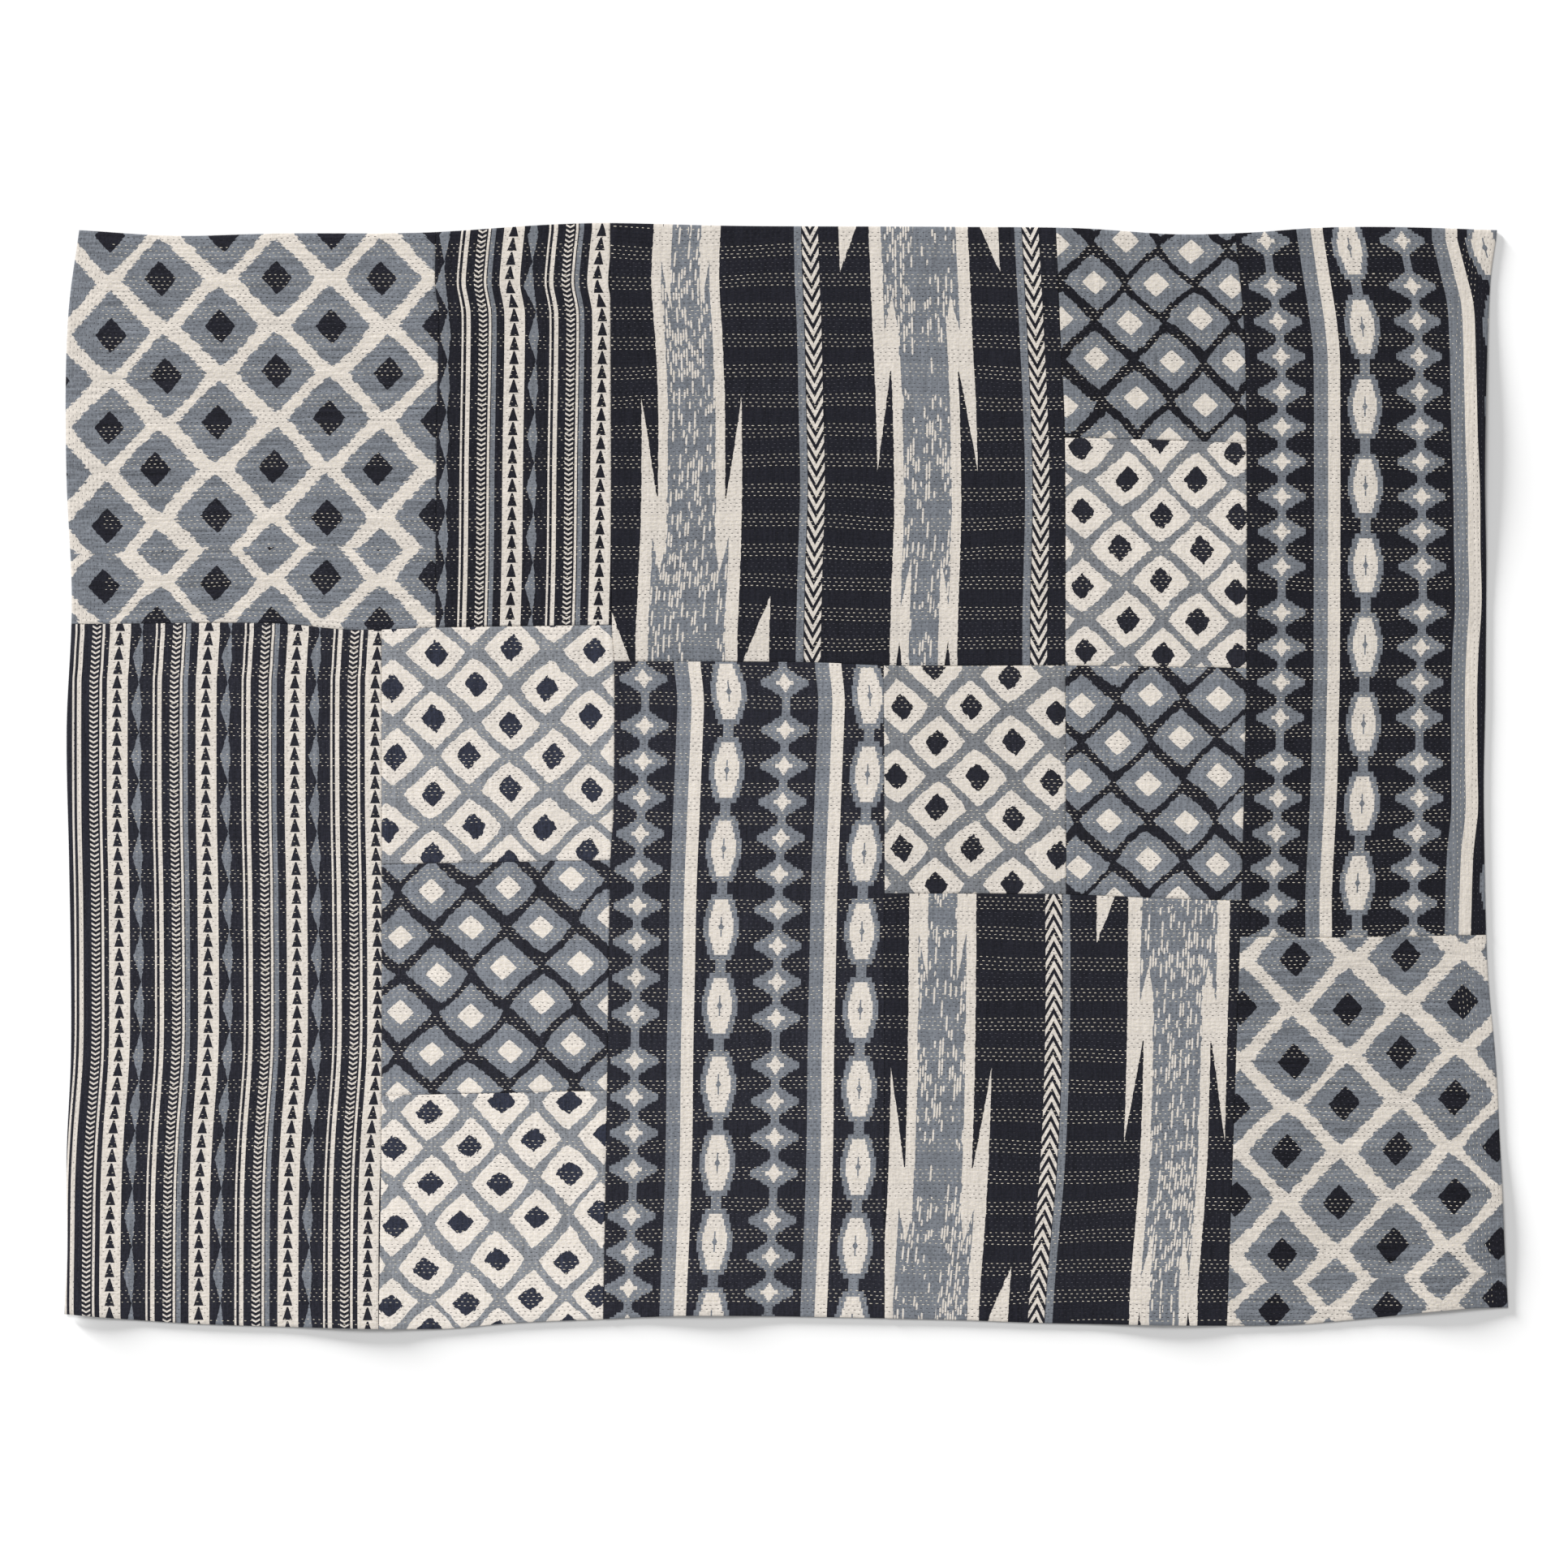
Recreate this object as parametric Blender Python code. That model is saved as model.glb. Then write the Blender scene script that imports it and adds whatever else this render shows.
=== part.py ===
"""A kantha quilt, spread out flat: one cloth of patchwork, sewn through with rows of running stitch.

The long side runs along X and the cloth lies on the plane Z = 0, face up. The origin is at the
middle of the quilt's box, on that plane. Sizes below are in millimetres, as a maker would note
them, and MM turns them into metres.
"""

import math
from typing import NamedTuple

import bmesh
import bpy

MM = 0.001

# The cloth
CLOTH_THICKNESS = 2.6
HEM_THICKNESS = 1.5
HEM_ROUNDING = 3.5

# The quilting: a band of stitched rows pulls the cloth down and the next band stands up
RIDGE_PITCH = 17.2
RIDGE_HEIGHT = 0.6
ROW_WANDER = 3.0
ROW_WANDER_LENGTH = 610.0

# The stitching turns to follow the two short sides
SIDE_RIDGES = 2
PANEL_COLUMNS = 20

# One strip of the underside for every so many half ridges of the face
UNDERSIDE_STRIDE = 4

INDIGO_NAVY = (0.013, 0.017, 0.028, 1.0)
COTTON_ROUGHNESS = 0.9


class EdgePoint(NamedTuple):
    """A point of an edge: how far along it, and where the edge stands across it."""

    along: float
    across: float


class Fold(NamedTuple):
    """A soft wave where the cloth doesn't touch the floor, round its middle point."""

    middle_x: float
    middle_y: float
    turn_deg: float
    half_length: float
    half_width: float
    height: float


#          along,  across
TOP_EDGE = (
    EdgePoint(-843, 651),
    EdgePoint(-724, 644),
    EdgePoint(-599, 647),
    EdgePoint(-434, 648),
    EdgePoint(-289, 657),
    EdgePoint(-202, 659),
    EdgePoint(-57, 656),
    EdgePoint(175, 655),
    EdgePoint(349, 653),
    EdgePoint(465, 646),
    EdgePoint(552, 648),
    EdgePoint(639, 654),
    EdgePoint(746, 654),
    EdgePoint(847, 651),
)

BOTTOM_EDGE = (
    EdgePoint(-860, -641),
    EdgePoint(-792, -647),
    EdgePoint(-676, -654),
    EdgePoint(-415, -659),
    EdgePoint(-328, -652),
    EdgePoint(-212, -647),
    EdgePoint(-105, -643),
    EdgePoint(194, -648),
    EdgePoint(310, -652),
    EdgePoint(513, -655),
    EdgePoint(600, -654),
    EdgePoint(687, -647),
    EdgePoint(804, -635),
    EdgePoint(860, -633),
)

LEFT_EDGE = (
    EdgePoint(-641, -860),
    EdgePoint(-569, -857),
    EdgePoint(-453, -858),
    EdgePoint(-337, -853),
    EdgePoint(-221, -853),
    EdgePoint(-105, -855),
    EdgePoint(55, -858),
    EdgePoint(185, -852),
    EdgePoint(243, -852),
    EdgePoint(359, -858),
    EdgePoint(475, -859),
    EdgePoint(562, -855),
    EdgePoint(651, -843),
)

RIGHT_EDGE = (
    EdgePoint(-633, 860),
    EdgePoint(-569, 856),
    EdgePoint(-453, 851),
    EdgePoint(-337, 845),
    EdgePoint(-250, 837),
    EdgePoint(-192, 834),
    EdgePoint(-18, 831),
    EdgePoint(98, 833),
    EdgePoint(243, 834),
    EdgePoint(359, 832),
    EdgePoint(475, 834),
    EdgePoint(591, 839),
    EdgePoint(651, 847),
)

#        middle x,  middle y,  turn,  half length,  half width,  height
FOLDS = (
    Fold(-660, 590, 82, 150, 100, 3.5),
    Fold(-230, 595, 96, 170, 105, 4.5),
    Fold(330, 590, 88, 140, 100, 3.0),
    Fold(700, 560, 80, 190, 95, 4.5),
    Fold(835, 400, 90, 210, 50, 4.0),
    Fold(-850, 280, 90, 150, 55, 3.0),
    Fold(-500, -600, 84, 160, 105, 4.0),
    Fold(-100, -600, 95, 120, 95, 3.0),
    Fold(450, -600, 92, 150, 100, 3.5),
    Fold(800, -570, 70, 170, 85, 4.5),
    Fold(-830, -610, 45, 100, 70, 3.5),
    Fold(-150, 170, 4, 430, 45, 2.0),
    Fold(430, -230, -3, 380, 50, 2.2),
    Fold(-560, -170, 2, 270, 45, 2.0),
    Fold(620, 110, -4, 250, 45, 2.0),
)


def read_edge(points: tuple[EdgePoint, ...], along: float) -> float:
    """Where an edge stands at a place along it, on a smooth curve through its points."""
    last = len(points) - 1
    span = next((i for i in range(last) if along <= points[i + 1].along), last - 1)
    before = points[max(span - 1, 0)]
    start = points[span]
    end = points[span + 1]
    after = points[min(span + 2, last)]
    width = end.along - start.along
    t = (along - start.along) / width
    start_slope = (end.across - before.across) / (end.along - before.along) * width
    end_slope = (after.across - start.across) / (after.along - start.along) * width
    return (
        (2 * t**3 - 3 * t**2 + 1) * start.across
        + (t**3 - 2 * t**2 + t) * start_slope
        + (3 * t**2 - 2 * t**3) * end.across
        + (t**3 - t**2) * end_slope
    )


def point_on(points: tuple[EdgePoint, ...], share: float) -> EdgePoint:
    """The point at a share of an edge's length, from 0 at its first point to 1 at its last."""
    along = points[0].along + share * (points[-1].along - points[0].along)
    return EdgePoint(along, read_edge(points, along))


def place(u: float, v: float) -> tuple[float, float]:
    """The place of a point of the cloth, which fills the shape between its four edges.

    u runs from the left edge to the right one, and v from the bottom edge to the top one.
    """
    bottom = point_on(BOTTOM_EDGE, u)
    top = point_on(TOP_EDGE, u)
    left = point_on(LEFT_EDGE, v)
    right = point_on(RIGHT_EDGE, v)
    corners = (
        ((1 - u) * (1 - v), BOTTOM_EDGE[0]),
        (u * (1 - v), BOTTOM_EDGE[-1]),
        ((1 - u) * v, TOP_EDGE[0]),
        (u * v, TOP_EDGE[-1]),
    )
    x = (1 - v) * bottom.along + v * top.along + (1 - u) * left.across + u * right.across
    y = (1 - v) * bottom.across + v * top.across + (1 - u) * left.along + u * right.along
    x -= sum(share * corner.along for share, corner in corners)
    y -= sum(share * corner.across for share, corner in corners)
    return x, y


def hump(share: float) -> float:
    """A soft hump: 1 in its middle at share 0, and flat with the floor from share 1 on."""
    return math.cos(math.pi / 2 * min(abs(share), 1.0)) ** 2


def lift(x: float, y: float) -> float:
    """How far the underside stands off the floor at a place."""
    height = 0.0
    for fold in FOLDS:
        turn = math.radians(fold.turn_deg)
        from_x = x - fold.middle_x
        from_y = y - fold.middle_y
        along = from_x * math.cos(turn) + from_y * math.sin(turn)
        across = from_y * math.cos(turn) - from_x * math.sin(turn)
        height += fold.height * hump(along / fold.half_length) * hump(across / fold.half_width)
    return height


def even_steps(start: float, end: float, count: int) -> list[float]:
    """The ends of so many equal steps, without the start."""
    return [start + (end - start) * (step + 1) / count for step in range(count)]


def column_places() -> list[float]:
    """Where the columns of the grid stand, as shares of the length, with the side bands closer."""
    length = TOP_EDGE[-1].along - TOP_EDGE[0].along
    hem = HEM_ROUNDING / length
    band = hem + SIDE_RIDGES * RIDGE_PITCH / length
    places = [0.0, hem]
    places += even_steps(hem, band, 2 * SIDE_RIDGES)
    places += even_steps(band, 1 - band, PANEL_COLUMNS)
    places += even_steps(1 - band, 1 - hem, 2 * SIDE_RIDGES)
    return places + [1.0]


def row_places() -> list[float]:
    """Where the rows of the grid stand, as shares of the width: two for each ridge."""
    width = LEFT_EDGE[-1].along - LEFT_EDGE[0].along
    hem = HEM_ROUNDING / width
    ridges = round((width - 2 * HEM_ROUNDING) / RIDGE_PITCH)
    return [0.0, hem] + even_steps(hem, 1 - hem, 2 * ridges) + [1.0]


def ridge(column: int, row: int, columns: int) -> float:
    """How far the quilting raises the face at a point of the grid: every other line is a crest."""
    side = 2 * SIDE_RIDGES + 1
    line = column if column < side or column > columns - side else row
    return RIDGE_HEIGHT if line % 2 == 0 else 0.0


def wander(u: float, v: float) -> float:
    """How far a stitched row strays from a straight line, as a share of the width."""
    width = LEFT_EDGE[-1].along - LEFT_EDGE[0].along
    length = TOP_EDGE[-1].along - TOP_EDGE[0].along
    wave = math.sin(2 * math.pi * u * length / ROW_WANDER_LENGTH + 5 * v)
    return ROW_WANDER / width * wave * math.sin(math.pi * v)


def make_cloth() -> bmesh.types.BMesh:
    """The quilt as one closed skin: a grid for the face, one for the underside and the hem."""
    columns = column_places()
    rows = row_places()
    last_column = len(columns) - 1
    last_row = len(rows) - 1
    cloth = bmesh.new()
    bmesh.ops.create_grid(cloth, x_segments=last_column, y_segments=last_row, size=0.5)
    underside = set(cloth.verts)
    bmesh.ops.extrude_face_region(cloth, geom=cloth.faces[:])
    thin_out(cloth, underside, last_row)

    for vert in cloth.verts:
        column = round((vert.co.x + 0.5) * last_column)
        row = round((vert.co.y + 0.5) * last_row)
        on_hem = column in (0, last_column) or row in (0, last_row)
        u = columns[column]
        v = rows[row] + wander(u, rows[row])
        x, y = place(u, v)
        z = lift(x, y)
        if vert not in underside:
            z += HEM_THICKNESS if on_hem else CLOTH_THICKNESS + ridge(column, row, last_column)
        vert.co = (x * MM, y * MM, z * MM)
    bmesh.ops.recalc_face_normals(cloth, faces=cloth.faces[:])
    return cloth


def thin_out(cloth: bmesh.types.BMesh, underside: set, last_row: int) -> None:
    """Joins the underside's faces into wider strips, because it has no quilting of its own."""
    spare = []
    for edge in cloth.edges:
        first, second = edge.verts
        if first not in underside or second not in underside or first.co.y != second.co.y:
            continue
        row = round((first.co.y + 0.5) * last_row)
        if 0 < row < last_row and row % UNDERSIDE_STRIDE:
            spare.append(edge)
    bmesh.ops.dissolve_edges(cloth, edges=spare, use_verts=True)


def centre_on_floor(cloth: bmesh.types.BMesh) -> None:
    """Puts the middle of the quilt's box over the origin."""
    xs = [vert.co.x for vert in cloth.verts]
    ys = [vert.co.y for vert in cloth.verts]
    middle = ((min(xs) + max(xs)) / 2, (min(ys) + max(ys)) / 2, 0.0)
    bmesh.ops.translate(cloth, verts=cloth.verts[:], vec=[-value for value in middle])


def cotton() -> bpy.types.Material:
    """The quilt's printed cotton, in the navy that most of it shows."""
    material = bpy.data.materials.new("printed_cotton")
    material.use_nodes = True
    shader = material.node_tree.nodes["Principled BSDF"]
    shader.inputs["Base Color"].default_value = INDIGO_NAVY
    shader.inputs["Roughness"].default_value = COTTON_ROUGHNESS
    shader.inputs["Metallic"].default_value = 0.0
    return material


def build_quilt() -> bpy.types.Object:
    """Makes the quilt and puts it in the scene."""
    cloth = make_cloth()
    centre_on_floor(cloth)
    mesh = bpy.data.meshes.new("quilt")
    cloth.to_mesh(mesh)
    cloth.free()
    mesh.shade_smooth()
    mesh.materials.append(cotton())
    quilt = bpy.data.objects.new("quilt", mesh)
    bpy.context.scene.collection.objects.link(quilt)
    return quilt


for old in list(bpy.data.objects):
    bpy.data.objects.remove(old, do_unlink=True)
build_quilt()
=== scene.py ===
"""A kantha quilt of printed cotton, spread out flat and seen from straight above.

Fifteen patches of six prints are sewn edge to edge, laid on a backing and sewn through with rows of
running stitch. Tables are in millimetres in the quilt's own frame, with x to the right and y up.
"""

import logging
import math
from dataclasses import dataclass, field
from enum import Enum

import bmesh
import bpy
import numpy as np
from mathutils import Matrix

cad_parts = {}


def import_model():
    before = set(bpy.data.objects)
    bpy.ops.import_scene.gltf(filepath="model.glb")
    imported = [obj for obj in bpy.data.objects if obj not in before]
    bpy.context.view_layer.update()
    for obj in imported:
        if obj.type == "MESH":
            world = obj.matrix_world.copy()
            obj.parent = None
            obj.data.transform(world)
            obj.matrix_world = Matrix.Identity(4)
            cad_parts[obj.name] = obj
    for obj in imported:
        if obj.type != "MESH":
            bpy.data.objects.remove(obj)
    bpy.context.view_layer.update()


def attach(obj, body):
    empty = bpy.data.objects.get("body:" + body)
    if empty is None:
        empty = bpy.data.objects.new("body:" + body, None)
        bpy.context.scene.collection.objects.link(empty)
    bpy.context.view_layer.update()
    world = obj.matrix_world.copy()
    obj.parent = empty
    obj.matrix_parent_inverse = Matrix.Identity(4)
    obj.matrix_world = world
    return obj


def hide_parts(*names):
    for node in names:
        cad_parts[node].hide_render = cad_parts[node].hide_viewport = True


MM = 0.001
NODE = "quilt"
BODY = "root"
LOG = logging.getLogger("kantha_quilt")

Triple = tuple[float, float, float]
Colour = Triple
Points = tuple[tuple[float, float], ...]


@dataclass(frozen=True)
class Curve:
    """A smooth line through measured points, such as a seam, an edge or a drifting column."""

    points: Points

    def at(self, along: np.ndarray) -> np.ndarray:
        """Read the line.

        Args:
            along: places along the line, in mm.

        Returns:
            The line's other coordinate at each place, in mm.
        """
        table = np.array(sorted(self.points), dtype=float)
        place = np.clip(np.asarray(along, dtype=float), table[0, 0], table[-1, 0])
        last = len(table) - 1
        span = np.clip(np.searchsorted(table[:, 0], place, side="left") - 1, 0, last - 1)
        before = np.maximum(span - 1, 0)
        after = np.minimum(span + 2, last)
        width = table[span + 1, 0] - table[span, 0]
        start = table[span, 1]
        end = table[span + 1, 1]
        start_slope = (end - table[before, 1]) / (table[span + 1, 0] - table[before, 0]) * width
        end_slope = (table[after, 1] - start) / (table[after, 0] - table[span, 0]) * width
        t = (place - table[span, 0]) / width
        return (
            (2 * t**3 - 3 * t**2 + 1) * start
            + (t**3 - 2 * t**2 + t) * start_slope
            + (3 * t**2 - 2 * t**3) * end
            + (t**3 - t**2) * end_slope
        )

    def shifted(self, by: float) -> "Curve":
        """Return the same line moved across by this many mm."""
        return Curve(tuple((along, across + by) for along, across in self.points))


TOP = Curve(
    (
        (-843, 651), (-724, 644), (-599, 647), (-434, 648), (-289, 657), (-202, 659), (-57, 656),
        (175, 655), (349, 653), (465, 646), (552, 648), (639, 654), (746, 654), (847, 651),
    )
)
BOTTOM = Curve(
    (
        (-860, -641), (-792, -647), (-676, -654), (-415, -659), (-328, -652), (-212, -647), (-105, -643),
        (194, -648), (310, -652), (513, -655), (600, -654), (687, -647), (804, -635), (860, -633),
    )
)
LEFT = Curve(
    (
        (-641, -860), (-569, -857), (-453, -858), (-337, -853), (-221, -853), (-105, -855), (55, -858),
        (185, -852), (243, -852), (359, -858), (475, -859), (562, -855), (651, -843),
    )
)
RIGHT = Curve(
    (
        (-633, 860), (-569, 856), (-453, 851), (-337, 845), (-250, 837), (-192, 834), (-18, 831),
        (98, 833), (243, 834), (359, 832), (475, 834), (591, 839), (651, 847),
    )
)


@dataclass(frozen=True)
class Wave:
    """A soft fold: where it is, which way it runs, its half sizes and its height."""

    x: float
    y: float
    turn: float
    half_length: float
    half_width: float
    height: float

    def lift(self, x: np.ndarray, y: np.ndarray) -> np.ndarray:
        """Raise the cloth.

        Args:
            x: places across, in mm.
            y: places up, in mm.

        Returns:
            The fold's height at each place, in mm.
        """
        angle = math.radians(self.turn)
        along = (x - self.x) * math.cos(angle) + (y - self.y) * math.sin(angle)
        across = (y - self.y) * math.cos(angle) - (x - self.x) * math.sin(angle)
        return self.height * self.hump(along / self.half_length) * self.hump(across / self.half_width)

    @staticmethod
    def hump(place: np.ndarray) -> np.ndarray:
        """Return 1 in the middle of the fold, falling softly to 0 at its ends."""
        return np.cos(np.pi / 2 * np.minimum(np.abs(place), 1)) ** 2


WAVES = (
    Wave(-660, 590, 82, 150, 100, 3.5),
    Wave(-230, 595, 96, 170, 105, 4.5),
    Wave(330, 590, 88, 140, 100, 3.0),
    Wave(700, 560, 80, 190, 95, 4.5),
    Wave(835, 400, 90, 210, 50, 4.0),
    Wave(-850, 280, 90, 150, 55, 3.0),
    Wave(-500, -600, 84, 160, 105, 4.0),
    Wave(-100, -600, 95, 120, 95, 3.0),
    Wave(450, -600, 92, 150, 100, 3.5),
    Wave(800, -570, 70, 170, 85, 4.5),
    Wave(-830, -610, 45, 100, 70, 3.5),
    Wave(-150, 170, 4, 430, 45, 2.0),
    Wave(430, -230, -3, 380, 50, 2.2),
    Wave(-560, -170, 2, 270, 45, 2.0),
    Wave(620, 110, -4, 250, 45, 2.0),
)


@dataclass(frozen=True)
class Quilting:
    """The rows of running stitch, numbered downwards from the top edge, and the ridges between them."""

    row_numbers: tuple[float, ...] = (-8.0, 0.0, 104.0, 192.0, 280.0, 293.0)
    row_heights: tuple[float, ...] = (668.8, 632.9, 165.8, -216.1, -613.6, -672.3)
    first_row: int = -5
    last_row: int = 291
    group: int = 4
    side_band: float = 39.1
    side_blend: float = 5.0
    side_pitch: float = 4.6
    ridge: float = 0.42
    crest: float = 0.07

    def drift(self, row: np.ndarray, x: np.ndarray) -> np.ndarray:
        """Find how far a hand-sewn row strays up or down.

        Args:
            row: row numbers.
            x: places across, in mm.

        Returns:
            The distance, upwards, in mm.
        """
        slow = 2.3 * np.sin(2 * np.pi * x / 540 + 0.031 * row)
        middle = 1.2 * np.sin(2 * np.pi * x / 285 + 0.085 * row + 1.3)
        return slow + middle + 0.5 * np.sin(2 * np.pi * x / 121 + 0.24 * row + 0.4)

    def line(self, row: np.ndarray, x: np.ndarray) -> np.ndarray:
        """Return the height y of a row at x, in mm."""
        return np.interp(row, self.row_numbers, self.row_heights) + self.drift(row, x)

    def row(self, x: np.ndarray, y: np.ndarray) -> np.ndarray:
        """Find the row number at a place.

        Args:
            x: places across, in mm.
            y: places up, in mm.

        Returns:
            The row number, whole on a row of stitches.
        """
        heights = np.array(self.row_heights[::-1])
        numbers = np.array(self.row_numbers[::-1])
        found = np.interp(y, heights, numbers)
        for _ in range(4):
            found = np.interp(y - self.drift(found, x), heights, numbers)
        return found

    def relief(self, row: np.ndarray) -> np.ndarray:
        """Give the quilting's relief.

        Args:
            row: row numbers, whole on a row of stitches.

        Returns:
            The height of the cloth above the stitches, in mm.
        """
        ridge = np.minimum(1.0, (1 - np.cos(2 * np.pi * row)) * 2 / 3)
        return self.ridge * ridge + self.crest * (1 - np.cos(2 * np.pi * row / self.group)) / 2


@dataclass(frozen=True)
class Cloth:
    """The whole quilt's shape: its outline, its folds and its rows."""

    thickness: float = 2.6
    hem_rounding: float = 5.0
    hem_share: float = 0.42
    quilting: Quilting = field(default_factory=Quilting)

    def lift(self, x: np.ndarray, y: np.ndarray) -> np.ndarray:
        """Return the height of the folds under the cloth, in mm."""
        return sum(wave.lift(x, y) for wave in WAVES)

    def inset(self, x: np.ndarray, y: np.ndarray) -> tuple[np.ndarray, np.ndarray]:
        """Measure how far a place lies inside the edges.

        Args:
            x: places across, in mm.
            y: places up, in mm.

        Returns:
            The distance to the nearer side edge, and to the nearer of the top and bottom edges, in mm.
        """
        sides = np.minimum(x - LEFT.at(y), RIGHT.at(y) - x)
        ends = np.minimum(y - BOTTOM.at(x), TOP.at(x) - y)
        return sides, ends

    def relief(self, x: np.ndarray, y: np.ndarray) -> np.ndarray:
        """Give the quilted relief: rows run across, and upwards in the two side bands.

        Args:
            x: places across, in mm.
            y: places up, in mm.

        Returns:
            The height of the cloth above the stitches, in mm.
        """
        sides, ends = self.inset(x, y)
        across = self.quilting.relief(self.quilting.row(x, y))
        upwards = self.quilting.relief(sides / self.quilting.side_pitch)
        share = np.clip((self.quilting.side_band - sides) / self.quilting.side_blend + 0.5, 0, 1)
        relief = upwards * share + across * (1 - share)
        return relief * np.clip(np.minimum(sides, ends) / 4, 0, 1)

    def body(self, x: np.ndarray, y: np.ndarray) -> np.ndarray:
        """Give the cloth's own thickness, which thins round the turned-in hem.

        Args:
            x: places across, in mm.
            y: places up, in mm.

        Returns:
            The thickness, in mm.
        """
        sides, ends = self.inset(x, y)
        near = np.clip(np.minimum(sides, ends) / self.hem_rounding, 0, 1)
        return self.thickness * (self.hem_share + (1 - self.hem_share) * np.sqrt(1 - (1 - near) ** 2))


@dataclass(frozen=True)
class Columns:
    """A striped print: where each of its named columns runs, so that the stripes drift as they do."""

    centres: tuple[Curve, ...]
    marks: tuple[float, ...]
    datum: float = 0.0
    downwards: bool = False
    turned: bool = False
    stretch: float = 1.0

    def place(self, x: np.ndarray, y: np.ndarray) -> tuple[np.ndarray, np.ndarray]:
        """Find the print's own coordinates.

        Args:
            x: places across, in mm.
            y: places up, in mm.

        Returns:
            The place across the print and along it, in mm.
        """
        sign = -1.0 if self.turned else 1.0
        lines = [sign * curve.at(y) for curve in self.centres]
        across = sign * x - lines[0] + self.marks[0]
        for first, second, low, high in zip(lines, lines[1:], self.marks, self.marks[1:]):
            between = low + (sign * x - first) * (high - low) / (second - first)
            across = np.where(sign * x > first, between, across)
        if len(lines) > 1:
            across = np.where(sign * x > lines[-1], sign * x - lines[-1] + self.marks[-1], across)
        along = (y - self.datum) / self.stretch
        return across, -along if self.downwards else along


@dataclass(frozen=True)
class Lattice:
    """A print of diamonds: its repeat, and where the hand-tied motifs really came out."""

    origin: tuple[float, float]
    pitch: tuple[float, float]
    marks: Points
    lean: tuple[float, float] = (0.0, 0.0)
    lean_centre: tuple[float, float] = (0.0, 0.0)
    cut_line: float = -9999.0
    cut_depth: float = 0.0
    softness: float = 7.0

    def upright(self, x: np.ndarray, y: np.ndarray) -> tuple[np.ndarray, np.ndarray]:
        """Take the print's lean out of a place, and return x and y in mm."""
        straight_x = x - self.lean[0] * (y - self.lean_centre[1])
        return straight_x, y - self.lean[1] * (x - self.lean_centre[0])

    def true_marks(self, x: np.ndarray, y: np.ndarray) -> tuple[np.ndarray, np.ndarray]:
        """Find where each motif would lie in an even repeat.

        Args:
            x: the motifs' upright places across, in mm.
            y: the motifs' upright places up, in mm.

        Returns:
            The even places, across and up, in mm.
        """
        on_cut = np.abs(y - self.cut_line) < 8
        taken = np.where(y < self.cut_line, self.cut_depth, 0.0)
        taken = np.where(on_cut, self.cut_depth / 2, taken)
        across = (x - self.origin[0]) / self.pitch[0]
        up = (y - taken - self.origin[1]) / self.pitch[1]
        first = np.round(across + up)
        second = np.round(across - up)
        even_x = self.origin[0] + (first + second) / 2 * self.pitch[0]
        even_y = self.origin[1] + (first - second) / 2 * self.pitch[1] + taken
        return even_x, np.where(on_cut, self.cut_line, even_y)

    def place(self, x: np.ndarray, y: np.ndarray) -> tuple[np.ndarray, np.ndarray]:
        """Find the print's own coordinates, eased so that each motif lands where it was measured.

        Args:
            x: places across, in mm.
            y: places up, in mm.

        Returns:
            The place across and up, counted in repeats.
        """
        table = np.array(self.marks, dtype=float)
        mark_x, mark_y = self.upright(table[:, 0], table[:, 1])
        even_x, even_y = self.true_marks(mark_x, mark_y)
        place_x, place_y = self.upright(x, y)
        total = np.zeros_like(place_x)
        ease_x = np.zeros_like(place_x)
        ease_y = np.zeros_like(place_x)
        for at_x, at_y, to_x, to_y in zip(mark_x, mark_y, even_x, even_y):
            near = (place_x - at_x) ** 2 + (place_y - at_y) ** 2 + self.softness**2
            weight = near**-2.0
            total += weight
            ease_x += weight * (to_x - at_x)
            ease_y += weight * (to_y - at_y)
        across = (place_x + ease_x / total - self.origin[0]) / self.pitch[0]
        up = (place_y + ease_y / total - self.origin[1]) / self.pitch[1]
        return across, up


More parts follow.
